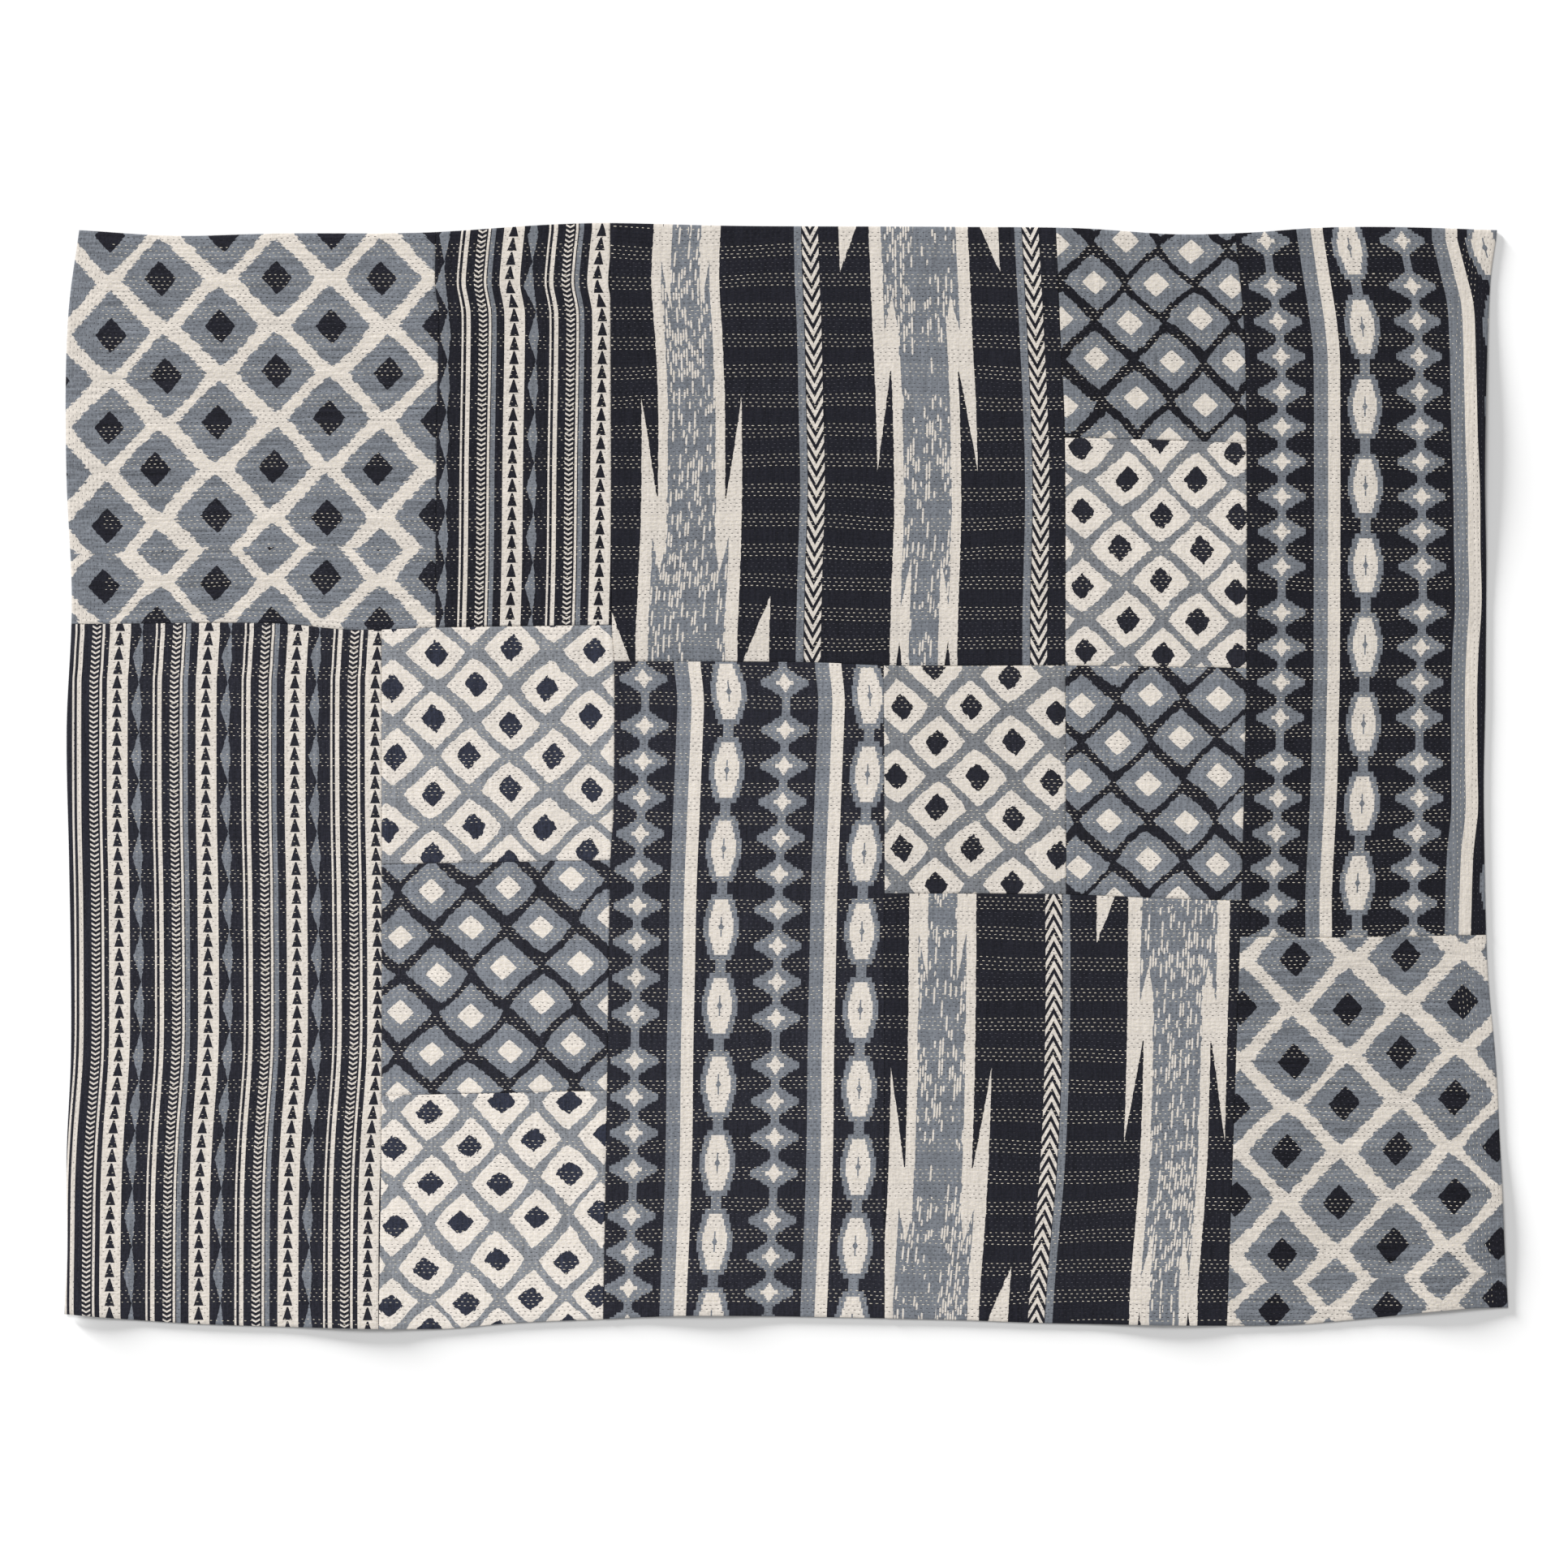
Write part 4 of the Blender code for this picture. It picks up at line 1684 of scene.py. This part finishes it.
class Patchwork:
    """The fifteen patches of the quilt's face."""

    large = Dyes(CREAM, GREY, NAVY)
    pale = Dyes(SOFT_GREY, CREAM, NAVY)
    pale_faded = Dyes(PALE_GREY, CREAM, FADED_NAVY)
    dark = Dyes(BLACK, GREY, CREAM)
    striped = Dyes(NAVY, GREY, CREAM)

    def large_diamonds(self, layout: Lattice, half: float, wash: PatchTone) -> PrintedCotton:
        """Dress a patch in large tied diamonds, cut and rejoined where the layout says.

        Args:
            layout: where the diamonds lie.
            half: their half width, in mm.
            tone: the patch's dye scale and lint.

        Returns:
            The patch's finish.
        """
        pattern = DiamondPrint(
            pitch=layout.pitch,
            half=(half, 49.8),
            heart=(18.6, 20.8),
            shape=1.08,
            tooth=1.9,
            ragged_up=1.0,
            ragged_across=4.6,
            cut_line=layout.cut_line - layout.origin[1],
            cut_depth=layout.cut_depth,
        )
        return PrintedCotton(pattern, self.large, wash, slub=0.50, weft_faced=True)

    def pale_diamonds(self, layout: Lattice, wash: PatchTone, upright: bool = True) -> PrintedCotton:
        """Dress a patch in cream diamonds on a grey lattice.

        Args:
            layout: where the diamonds lie.
            tone: the patch's dye scale and lint.
            upright: whether they stand, or lie on their side.

        Returns:
            The patch's finish.
        """
        half = (34.8, 32.9) if upright else (32.9, 34.8)
        heart = (14.0, 16.0) if upright else (16.0, 14.0)
        pattern = DiamondPrint(
            pitch=layout.pitch,
            half=half,
            heart=heart,
            shape=1.1,
            tooth=2.8,
            ragged_up=1.9,
            ragged_across=1.3,
            heart_ragged=1.4,
            heart_shape=1.19,
            skew=0.12,
        )
        dyes = self.pale_faded if wash.lint > 0.015 else self.pale
        return PrintedCotton(pattern, dyes, wash, slub=0.36)

    def dark_diamonds(self, layout: Lattice, wash: PatchTone) -> PrintedCotton:
        """Dress a patch in grey diamonds on a black lattice.

        Args:
            layout: where the diamonds lie.
            tone: the patch's dye scale and lint.

        Returns:
            The patch's finish.
        """
        pattern = DiamondPrint(
            pitch=layout.pitch,
            half=(36.8, 35.0),
            heart=(15.4, 14.4),
            shape=1.07,
            bias=0.03,
            ragged_up=2.6,
            ragged_across=1.6,
            heart_ragged=0.3,
            skew=0.11,
        )
        return PrintedCotton(pattern, self.dark, wash, slub=0.38)

    def patches(self) -> list[Patch]:
        """List the patches.

        Returns:
            The fifteen patches, from the top left to the bottom right.
        """
        arrows_west = PrintedCotton(
            StripePrint(
                skip_first=122.3,
                skip_second=429.8,
                lens_start=141.7,
                lens_pitch=59.4,
                lens_turn=-422.2,
                triangle_start=1.8,
            ),
            self.striped,
            PatchTone(0.98, 0.0095),
        )
        arrows_north = PrintedCotton(
            StripePrint(triangle_start=0.7, triangle_pitch=16.9), self.striped, PatchTone(0.94, 0.004)
        )
        crosses_north = PrintedCotton(CrossPrint(), self.striped, PatchTone(0.90, 0.001))
        crosses_south = PrintedCotton(CrossPrint(91.8, -39.8, -5.0), self.striped, PatchTone(0.98, 0.009))
        # Each patch's tone scales its dyes, from 1.07 on the lower left to 0.88 on the lower right, and
        # adds its pale lint.
        return [
            Patch("patch_large_diamonds_nw", LEFT, SEAM_B, CROSS_A, TOP, "huoh", LARGE_NORTH,
                  self.large_diamonds(LARGE_NORTH, 47.2, PatchTone(0.97, 0.0045))),
            Patch("patch_arrow_stripes_n", SEAM_B, SEAM_C, CROSS_A, TOP, "ouoh", ARROWS_NORTH,
                  arrows_north, 0.84),
            Patch("patch_tied_bands_n", SEAM_C, SEAM_E, CROSS_B, TOP, "ouoh", BANDS_NORTH,
                  PrintedCotton(BandPrint(), self.striped, PatchTone(0.92, 0.004))),
            Patch("patch_dark_diamonds_n", SEAM_E, SEAM_F, CROSS_C, TOP, "ouoh", DARK_NORTH,
                  self.dark_diamonds(DARK_NORTH, PatchTone(0.93, 0.001))),
            Patch("patch_pale_diamonds_e", SEAM_E, SEAM_F, CROSS_B, CROSS_C, "ouou", PALE_NORTH,
                  self.pale_diamonds(PALE_NORTH, PatchTone(0.96, 0.008))),
            Patch("patch_crosses_ne", SEAM_F, RIGHT, CROSS_G, TOP, "ohoh", CROSSES_NORTH, crosses_north),
            Patch("patch_arrow_stripes_sw", LEFT, SEAM_A, BOTTOM, CROSS_A, "huhu", ARROWS_WEST,
                  arrows_west, 0.84),
            Patch("patch_pale_diamonds_w", SEAM_A, SEAM_C, CROSS_D, CROSS_A, "ouou", PALE_WEST,
                  self.pale_diamonds(PALE_WEST, PatchTone(1.02, 0.016))),
            Patch("patch_dark_diamonds_w", SEAM_A, SEAM_C, CROSS_E, CROSS_D, "ouou", DARK_WEST,
                  self.dark_diamonds(DARK_WEST, PatchTone(1.06, 0.010))),
            Patch("patch_pale_diamonds_s", SEAM_A, SEAM_C, BOTTOM, CROSS_E, "ouhu", PALE_SOUTH,
                  self.pale_diamonds(PALE_SOUTH, PatchTone(1.07, 0.016), False)),
            Patch("patch_crosses_s", SEAM_C, SEAM_D, BOTTOM, CROSS_B, "ouhu", CROSSES_SOUTH, crosses_south),
            Patch("patch_pale_diamonds_m", SEAM_D, SEAM_E, CROSS_F, CROSS_B, "ouou", PALE_MIDDLE,
                  self.pale_diamonds(PALE_MIDDLE, PatchTone(0.94, 0.008))),
            Patch("patch_dark_diamonds_e", SEAM_E, SEAM_F, CROSS_F, CROSS_B, "ouou", DARK_EAST,
                  self.dark_diamonds(DARK_EAST, PatchTone(0.98, 0.004))),
            Patch("patch_tied_bands_s", SEAM_D, SEAM_F, BOTTOM, CROSS_F, "ouhu", BANDS_SOUTH,
                  PrintedCotton(BandPrint(), self.striped, PatchTone(0.93, 0.0045))),
            Patch("patch_large_diamonds_se", SEAM_F, RIGHT, BOTTOM, CROSS_G, "ohhu", LARGE_SOUTH,
                  self.large_diamonds(LARGE_SOUTH, 47.6, PatchTone(0.88, 0.001))),
        ]


@dataclass
class Backing:
    """The plain cotton under the quilt, through which the stitches show as small dashes."""

    inset: float = 3.2
    rise: float = 0.12
    columns: int = 46
    rows: int = 36
    cloth: Cloth = field(default_factory=Cloth)

    def build(self) -> bpy.types.Object:
        """Model the backing and dress it.

        Returns:
            The backing, its face downwards.
        """
        mesh = bpy.data.meshes.new("backing")
        shape = bmesh.new()
        bmesh.ops.create_grid(shape, x_segments=self.columns, y_segments=self.rows, size=1.0)
        bmesh.ops.reverse_faces(shape, faces=shape.faces)
        shape.to_mesh(mesh)
        shape.free()
        flat = np.empty(len(mesh.vertices) * 3)
        mesh.vertices.foreach_get("co", flat)
        flat = flat.reshape(-1, 3)
        across = (flat[:, 0] + 1) / 2
        up = (flat[:, 1] + 1) / 2
        x = np.zeros(len(flat))
        y = np.zeros(len(flat))
        for _ in range(6):
            x = (LEFT.at(y) + self.inset) * (1 - across) + (RIGHT.at(y) - self.inset) * across
            y = (BOTTOM.at(x) + self.inset) * (1 - up) + (TOP.at(x) - self.inset) * up
        points = np.stack([x, y, self.cloth.lift(x, y) + self.rise], axis=1) * MM
        mesh.vertices.foreach_set("co", points.ravel())
        corners = np.empty(len(mesh.loops), dtype=np.int32)
        mesh.loops.foreach_get("vertex_index", corners)
        layer = mesh.uv_layers.new(name="quilting")
        pair = np.stack([x, self.cloth.quilting.row(x, y)], axis=1)
        layer.data.foreach_set("uv", pair[corners].astype(np.float32).ravel())
        mesh.shade_smooth()
        mesh.materials.append(self.material())
        piece = bpy.data.objects.new("backing", mesh)
        bpy.context.scene.collection.objects.link(piece)
        return piece

    def material(self) -> bpy.types.Material:
        """Make the backing's finish: plain navy cotton with dashes where the thread comes through.

        Returns:
            The material.
        """
        material = bpy.data.materials.new("backing_cotton")
        material.use_nodes = True
        tree = material.node_tree
        shader = tree.nodes["Principled BSDF"]
        shader.inputs["Specular IOR Level"].default_value = 0.12
        place = tree.nodes.new("ShaderNodeTexCoord").outputs["Object"]
        rows = tree.nodes.new("ShaderNodeUVMap")
        rows.uv_map = "quilting"
        dashes = tree.nodes.new("ShaderNodeGroup")
        dashes.node_tree = self.dashes()
        tree.links.new(rows.outputs[0], dashes.inputs["Rows"])
        dye = tree.nodes.new("ShaderNodeGroup")
        dye.node_tree = WovenCotton.dye()
        tree.links.new(place, dye.inputs["Place"])
        tree.links.new(dashes.outputs["Light"], dye.inputs["Second"])
        dye.inputs["Ground"].default_value = (0.020, 0.020, 0.030, 1.0)
        dye.inputs["Second Dye"].default_value = (*CREAM, 1.0)
        dye.inputs["Fading"].default_value = 0.15
        tree.links.new(dye.outputs["Colour"], shader.inputs["Base Color"])
        tree.links.new(dye.outputs["Roughness"], shader.inputs["Roughness"])
        weave = tree.nodes.new("ShaderNodeGroup")
        weave.node_tree = WovenCotton.surface()
        tree.links.new(place, weave.inputs["Place"])
        tree.links.new(rows.outputs[0], weave.inputs["Rows"])
        bump = tree.nodes.new("ShaderNodeBump")
        bump.inputs["Strength"].default_value = 0.7
        bump.inputs["Distance"].default_value = 0.0009
        tree.links.new(weave.outputs["Height"], bump.inputs["Height"])
        tree.links.new(bump.outputs[0], shader.inputs["Normal"])
        return material

    @staticmethod
    def dashes() -> bpy.types.NodeTree:
        """Make the group that marks the light thread's dashes.

        Returns:
            The node group, with Light out.
        """
        effect = Effect("thread_dashes", {"Rows": (VECTOR, None)}, {"Light": FLOAT})
        along, row = effect.pair("Rows")
        number = row.rounded()
        on_row = abs(row - number) < 0.16
        light = number.wrapped(8.0) < 3.5
        dash = (along / 6.8 + number.hashed(3.0)).wrapped(1.0) < 0.42
        effect.give("Light", on_row & light & dash)
        return effect.tree


class Thread(Enum):
    """The threads that the rows are sewn in."""

    CREAM = "cream"
    SLATE = "slate"
    BLACK = "black"


@dataclass(frozen=True)
class ThreadFinish:
    """Twisted cotton thread: its colour and how far single stitches differ from it."""

    colour: Colour
    size: float = 1.0
    unevenness: float = 0.18

    def material(self, name: str) -> bpy.types.Material:
        """Make the material.

        Args:
            name: the material's name.

        Returns:
            The material.
        """
        material = bpy.data.materials.new(name)
        material.use_nodes = True
        tree = material.node_tree
        shader = tree.nodes["Principled BSDF"]
        shader.inputs["Specular IOR Level"].default_value = 0.2
        place = tree.nodes.new("ShaderNodeTexCoord").outputs["Object"]
        twist = tree.nodes.new("ShaderNodeGroup")
        twist.node_tree = self.twist()
        tree.links.new(place, twist.inputs["Place"])
        twist.inputs["Dye"].default_value = (*self.colour, 1.0)
        twist.inputs["Unevenness"].default_value = self.unevenness
        tree.links.new(twist.outputs["Colour"], shader.inputs["Base Color"])
        tree.links.new(twist.outputs["Roughness"], shader.inputs["Roughness"])
        bump = tree.nodes.new("ShaderNodeBump")
        bump.inputs["Strength"].default_value = 0.5
        bump.inputs["Distance"].default_value = 0.0002
        tree.links.new(twist.outputs["Height"], bump.inputs["Height"])
        tree.links.new(bump.outputs[0], shader.inputs["Normal"])
        return material

    @staticmethod
    def twist() -> bpy.types.NodeTree:
        """Make or find the group that gives thread its plies.

        Returns:
            The node group, with Colour, Roughness and Height out.
        """
        found = bpy.data.node_groups.get("thread_twist")
        if found:
            return found
        inputs = {"Place": (VECTOR, None), "Dye": (COLOUR, None), "Unevenness": (FLOAT, 0.15)}
        effect = Effect("thread_twist", inputs, {"Colour": COLOUR, "Roughness": FLOAT, "Height": FLOAT})
        place = effect.entry.outputs["Place"]
        worn = effect.noise(place, (130.0, 170.0, 60.0), 1.0, 4.4)
        ply = effect.noise(place, (1500.0, 1500.0, 300.0), 0.0, 7.9)
        shade = effect.tree.nodes.new("ShaderNodeVectorMath")
        shade.operation = "SCALE"
        effect.tree.links.new(effect.entry.outputs["Dye"], shade.inputs[0])
        amount = 1.0 + (worn - 0.5) * effect.wire("Unevenness") * 4.0
        effect.tree.links.new(amount.socket, shade.inputs["Scale"])
        effect.give("Colour", shade.outputs[0])
        effect.give("Roughness", 0.70 + ply * 0.2)
        effect.give("Height", ply)
        return effect.tree


THREADS = {
    Thread.CREAM: ThreadFinish((0.74, 0.68, 0.56)),
    Thread.SLATE: ThreadFinish((0.074, 0.073, 0.086), 0.86),
    Thread.BLACK: ThreadFinish((0.032, 0.031, 0.037), 0.84),
}


@dataclass
class Stitching:
    """All the running stitches, as small closed dashes that lie in the valleys between the ridges."""

    patches: list[Patch]
    pitch: float = 6.8
    length: float = 3.1
    width: float = 1.15
    height: float = 0.60
    sink: float = 0.14
    seed: int = 41
    cloth: Cloth = field(default_factory=Cloth)

    def dash(self) -> bmesh.types.BMesh:
        """Shape one stitch: a box whose top is drawn together into a short ridge.

        Returns:
            The stitch, 1 mm in each size, on its base.
        """
        shape = bmesh.new()
        bmesh.ops.create_cube(shape, size=1.0)
        bmesh.ops.translate(shape, vec=(0, 0, 0.5), verts=shape.verts)
        for sign in (-1, 1):
            ends = [v for v in shape.verts if v.co.z > 0.5 and v.co.x * sign > 0]
            bmesh.ops.pointmerge(shape, verts=ends, merge_co=(0.27 * sign, 0, 1))
        return shape

    def rows(self) -> tuple[np.ndarray, np.ndarray, np.ndarray, np.ndarray]:
        """Place the stitches of the rows that run across.

        Returns:
            x and y in mm, the angle in radians, and the row number of each stitch.
        """
        uneven = np.random.default_rng(self.seed)
        quilting = self.cloth.quilting
        found = []
        for row in range(quilting.first_row, quilting.last_row + 1):
            if row % quilting.group == 0 or not found:
                steps = self.pitch * (1 + uneven.normal(0, 0.03, 260))
                shared = -830 + uneven.uniform(0, self.pitch) + np.cumsum(steps)
            x = shared + row % 2 * self.pitch * 0.38 + uneven.normal(0, 0.26, len(shared))
            number = np.full(len(x), float(row))
            y = quilting.line(number, x) + uneven.normal(0, 0.15, len(x))
            slope = (quilting.line(number, x + 1) - quilting.line(number, x - 1)) / 2
            found.append(np.stack([x, y, np.arctan(slope), number]))
        x, y, angle, number = np.concatenate(found, axis=1)
        sides, ends = self.cloth.inset(x, y)
        kept = (sides > quilting.side_band + 1.5) & (ends > 4.0)
        return x[kept], y[kept], angle[kept], number[kept]

    def side_rows(self) -> tuple[np.ndarray, np.ndarray, np.ndarray, np.ndarray]:
        """Place the stitches of the side bands, which run upwards.

        Returns:
            x and y in mm, the angle in radians, and the row number of each stitch.
        """
        uneven = np.random.default_rng(self.seed + 1)
        quilting = self.cloth.quilting
        found = []
        for edge, sign in ((LEFT, 1), (RIGHT, -1)):
            for row in range(1, 9):
                y = -655 + uneven.uniform(0, self.pitch)
                y = y + np.cumsum(self.pitch * (1 + uneven.normal(0, 0.035, 200)))
                x = edge.at(y) + sign * row * quilting.side_pitch + uneven.normal(0, 0.17, len(y))
                lean = (edge.at(y + 1) - edge.at(y - 1)) / 2
                number = 4.0 + row if row < 5 else row - 5.0
                if edge is LEFT:
                    number = 3.0 + row if row < 5 else 7.0 + row
                found.append(np.stack([x, y, np.pi / 2 - np.arctan(lean), np.full(len(x), number)]))
        x, y, angle, number = np.concatenate(found, axis=1)
        _, ends = self.cloth.inset(x, y)
        kept = ends > 5.0
        return x[kept], y[kept], angle[kept], number[kept]

    def build(self) -> dict[str, bpy.types.Object]:
        """Sew the quilt.

        Returns:
            The pieces of stitching by name.
        """
        parts = [np.concatenate(pair) for pair in zip(self.rows(), self.side_rows())]
        x, y, angle, number = parts
        z = np.full(len(x), np.nan)
        size = np.ones(len(x))
        for patch in self.patches:
            on = patch.holds(x, y)
            z[on] = patch.surface(x[on], y[on])
            size[on] = patch.stitch_size
        size[self.cloth.inset(x, y)[0] < self.cloth.quilting.side_band] *= 0.8
        sewn = ~np.isnan(z)
        group = np.floor_divide(number, 4)
        light = np.mod(group, 2) == 0
        slate = np.mod(group, 4) == 1
        made = {}
        for name, thread, chosen in (
            ("stitches_pale_west", Thread.CREAM, light & (x < 0)),
            ("stitches_pale_east", Thread.CREAM, light & (x >= 0)),
            ("stitches_slate", Thread.SLATE, ~light & slate),
            ("stitches_black", Thread.BLACK, ~light & ~slate),
        ):
            use = chosen & sewn
            made[name] = self.sew(name, thread, x[use], y[use], z[use], angle[use], size[use])
        return made

    def sew(
        self,
        name: str,
        thread: Thread,
        x: np.ndarray,
        y: np.ndarray,
        z: np.ndarray,
        angle: np.ndarray,
        size: np.ndarray,
    ) -> bpy.types.Object:
        """Join one thread's stitches into a piece.

        Args:
            name: the piece's name.
            thread: the thread that it is sewn in.
            x: the stitches' places across, in mm.
            y: their places up, in mm.
            z: the cloth's height there, in mm.
            angle: the way that each stitch runs, in radians.
            size: each stitch's size against the usual one.

        Returns:
            The piece.
        """
        shape = self.dash()
        proto = bpy.data.meshes.new(name + "_one")
        bmesh.ops.recalc_face_normals(shape, faces=shape.faces)
        shape.to_mesh(proto)
        shape.free()
        corner = np.empty(len(proto.vertices) * 3)
        proto.vertices.foreach_get("co", corner)
        corner = corner.reshape(-1, 3)
        loops = np.empty(len(proto.loops), dtype=np.int32)
        proto.loops.foreach_get("vertex_index", loops)
        starts = np.empty(len(proto.polygons), dtype=np.int32)
        proto.polygons.foreach_get("loop_start", starts)
        uneven = np.random.default_rng(self.seed + len(x))
        count = len(x)
        size = size * THREADS[thread].size
        long = self.length * (size * (1 + uneven.normal(0, 0.10, count)))[:, None]
        wide = self.width * (size * (1 + uneven.normal(0, 0.10, count)))[:, None]
        turn = (angle + uneven.normal(0, 0.05, count))[:, None]
        local_x = corner[:, 0] * long
        local_y = corner[:, 1] * wide
        points = np.empty((count, len(corner), 3))
        points[:, :, 0] = x[:, None] + local_x * np.cos(turn) - local_y * np.sin(turn)
        points[:, :, 1] = y[:, None] + local_x * np.sin(turn) + local_y * np.cos(turn)
        points[:, :, 2] = z[:, None] - self.sink + corner[:, 2] * self.height
        mesh = bpy.data.meshes.new(name)
        mesh.vertices.add(count * len(corner))
        mesh.vertices.foreach_set("co", (points * MM).ravel())
        shift = np.arange(count, dtype=np.int32)[:, None]
        mesh.loops.add(count * len(loops))
        mesh.loops.foreach_set("vertex_index", (loops[None, :] + shift * len(corner)).ravel())
        mesh.polygons.add(count * len(starts))
        mesh.polygons.foreach_set("loop_start", (starts[None, :] + shift * len(loops)).ravel())
        mesh.update(calc_edges=True)
        mesh.validate()
        mesh.shade_smooth()
        bpy.data.meshes.remove(proto)
        mesh.materials.append(THREADS[thread].material(name))
        piece = bpy.data.objects.new(name, mesh)
        bpy.context.scene.collection.objects.link(piece)
        return piece


@dataclass
class Studio:
    """The pale floor, the soft light from the upper left and the camera straight above."""

    frame_width: float = 1.8682
    centre: tuple[float, float] = (-0.0029, -0.0087)
    lens: float = 85.0
    sensor: float = 36.0
    sun_strength: float = 2.3
    sky_strength: float = 0.62
    floor_shade: float = 0.55
    low_strength: float = 23.3
    low_height: float = 6.5
    low_angle: float = 11.0

    def camera(self) -> bpy.types.Object:
        """Hang the camera straight above the quilt.

        Returns:
            The camera.
        """
        data = bpy.data.cameras.new("camera")
        data.lens = self.lens
        data.sensor_width = self.sensor
        data.clip_end = 50.0
        camera = bpy.data.objects.new("camera", data)
        camera.location = (*self.centre, self.frame_width * self.lens / self.sensor + 0.003)
        bpy.context.scene.collection.objects.link(camera)
        bpy.context.scene.camera = camera
        return camera

    def floor(self) -> bpy.types.Object:
        """Lay the pale floor.

        Returns:
            The floor, which isn't part of the quilt.
        """
        mesh = bpy.data.meshes.new("floor")
        shape = bmesh.new()
        bmesh.ops.create_grid(shape, x_segments=1, y_segments=1, size=6.0)
        bmesh.ops.translate(shape, vec=(0, 0, -0.0004), verts=shape.verts)
        shape.to_mesh(mesh)
        shape.free()
        material = bpy.data.materials.new("pale_floor")
        material.use_nodes = True
        shader = material.node_tree.nodes["Principled BSDF"]
        shade = self.floor_shade
        shader.inputs["Base Color"].default_value = (shade, shade, shade, 1)
        shader.inputs["Roughness"].default_value = 0.9
        shader.inputs["Specular IOR Level"].default_value = 0.1
        mesh.materials.append(material)
        floor = bpy.data.objects.new("floor", mesh)
        bpy.context.scene.collection.objects.link(floor)
        return floor

    def sun(self, name: str, energy: float, angle: float, turn: Triple) -> bpy.types.Object:
        """Hang a sun.

        Args:
            name: the light's name.
            energy: its strength.
            angle: how wide it looks, in degrees.
            turn: its turn round x, y and z, in degrees.

        Returns:
            The light.
        """
        data = bpy.data.lights.new(name, "SUN")
        data.energy = energy
        data.angle = math.radians(angle)
        light = bpy.data.objects.new(name, data)
        light.rotation_euler = [math.radians(part) for part in turn]
        bpy.context.scene.collection.objects.link(light)
        return light

    def lights(self, floor: bpy.types.Object) -> None:
        """Set the soft key light, a low light for the floor alone, and the even light all round.

        Args:
            floor: the floor, on which the quilt's soft shadow falls.
        """
        self.sun("key", self.sun_strength, 22, (-40, -34, 0))
        low = self.sun("low", self.low_strength, self.low_angle, (90 - self.low_height, 0, -135))
        lit = bpy.data.collections.new("lit_by_low")
        lit.objects.link(floor)
        low.light_linking.receiver_collection = lit
        world = bpy.data.worlds.new("studio")
        world.use_nodes = True
        sky = world.node_tree.nodes["Background"]
        sky.inputs["Color"].default_value = (1, 1, 1, 1)
        sky.inputs["Strength"].default_value = self.sky_strength
        bpy.context.scene.world = world
        bpy.context.scene.view_settings.view_transform = "Standard"


class KanthaQuilt:
    """The whole quilt: patchwork face, backing and stitching."""

    def build(self) -> None:
        """Make every piece, and tie it to the frame.

        The cloth stands for the solid, and the stitches ride on its body.
        """
        backing = Backing().build()
        self.adopt(backing)
        patches = Patchwork().patches()
        for patch in patches:
            piece = patch.build()
            self.adopt(piece)
            width = (piece.bound_box[6][0] - piece.bound_box[0][0]) * 1.002
            length = (piece.bound_box[6][1] - piece.bound_box[0][1]) * 1.002
            area = min(patch.area(), width * length)
            LOG.info("%s: %d faces, %.4f m2", piece.name, len(piece.data.polygons), area)
        for name, piece in Stitching(patches).build().items():
            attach(piece, BODY)
            LOG.info("%s: %d faces", name, len(piece.data.polygons))

    @staticmethod
    def adopt(piece: bpy.types.Object) -> None:
        """Make a piece of cloth stand for the quilt's solid.

        Args:
            piece: the backing or a patch.
        """
        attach(piece, BODY)
        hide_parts(NODE)


def main() -> None:
    """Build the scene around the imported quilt.
    """
    logging.basicConfig(level=logging.INFO, format="%(message)s")
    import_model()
    studio = Studio()
    studio.camera()
    studio.lights(studio.floor())
    KanthaQuilt().build()


if __name__ == "__main__":
    main()
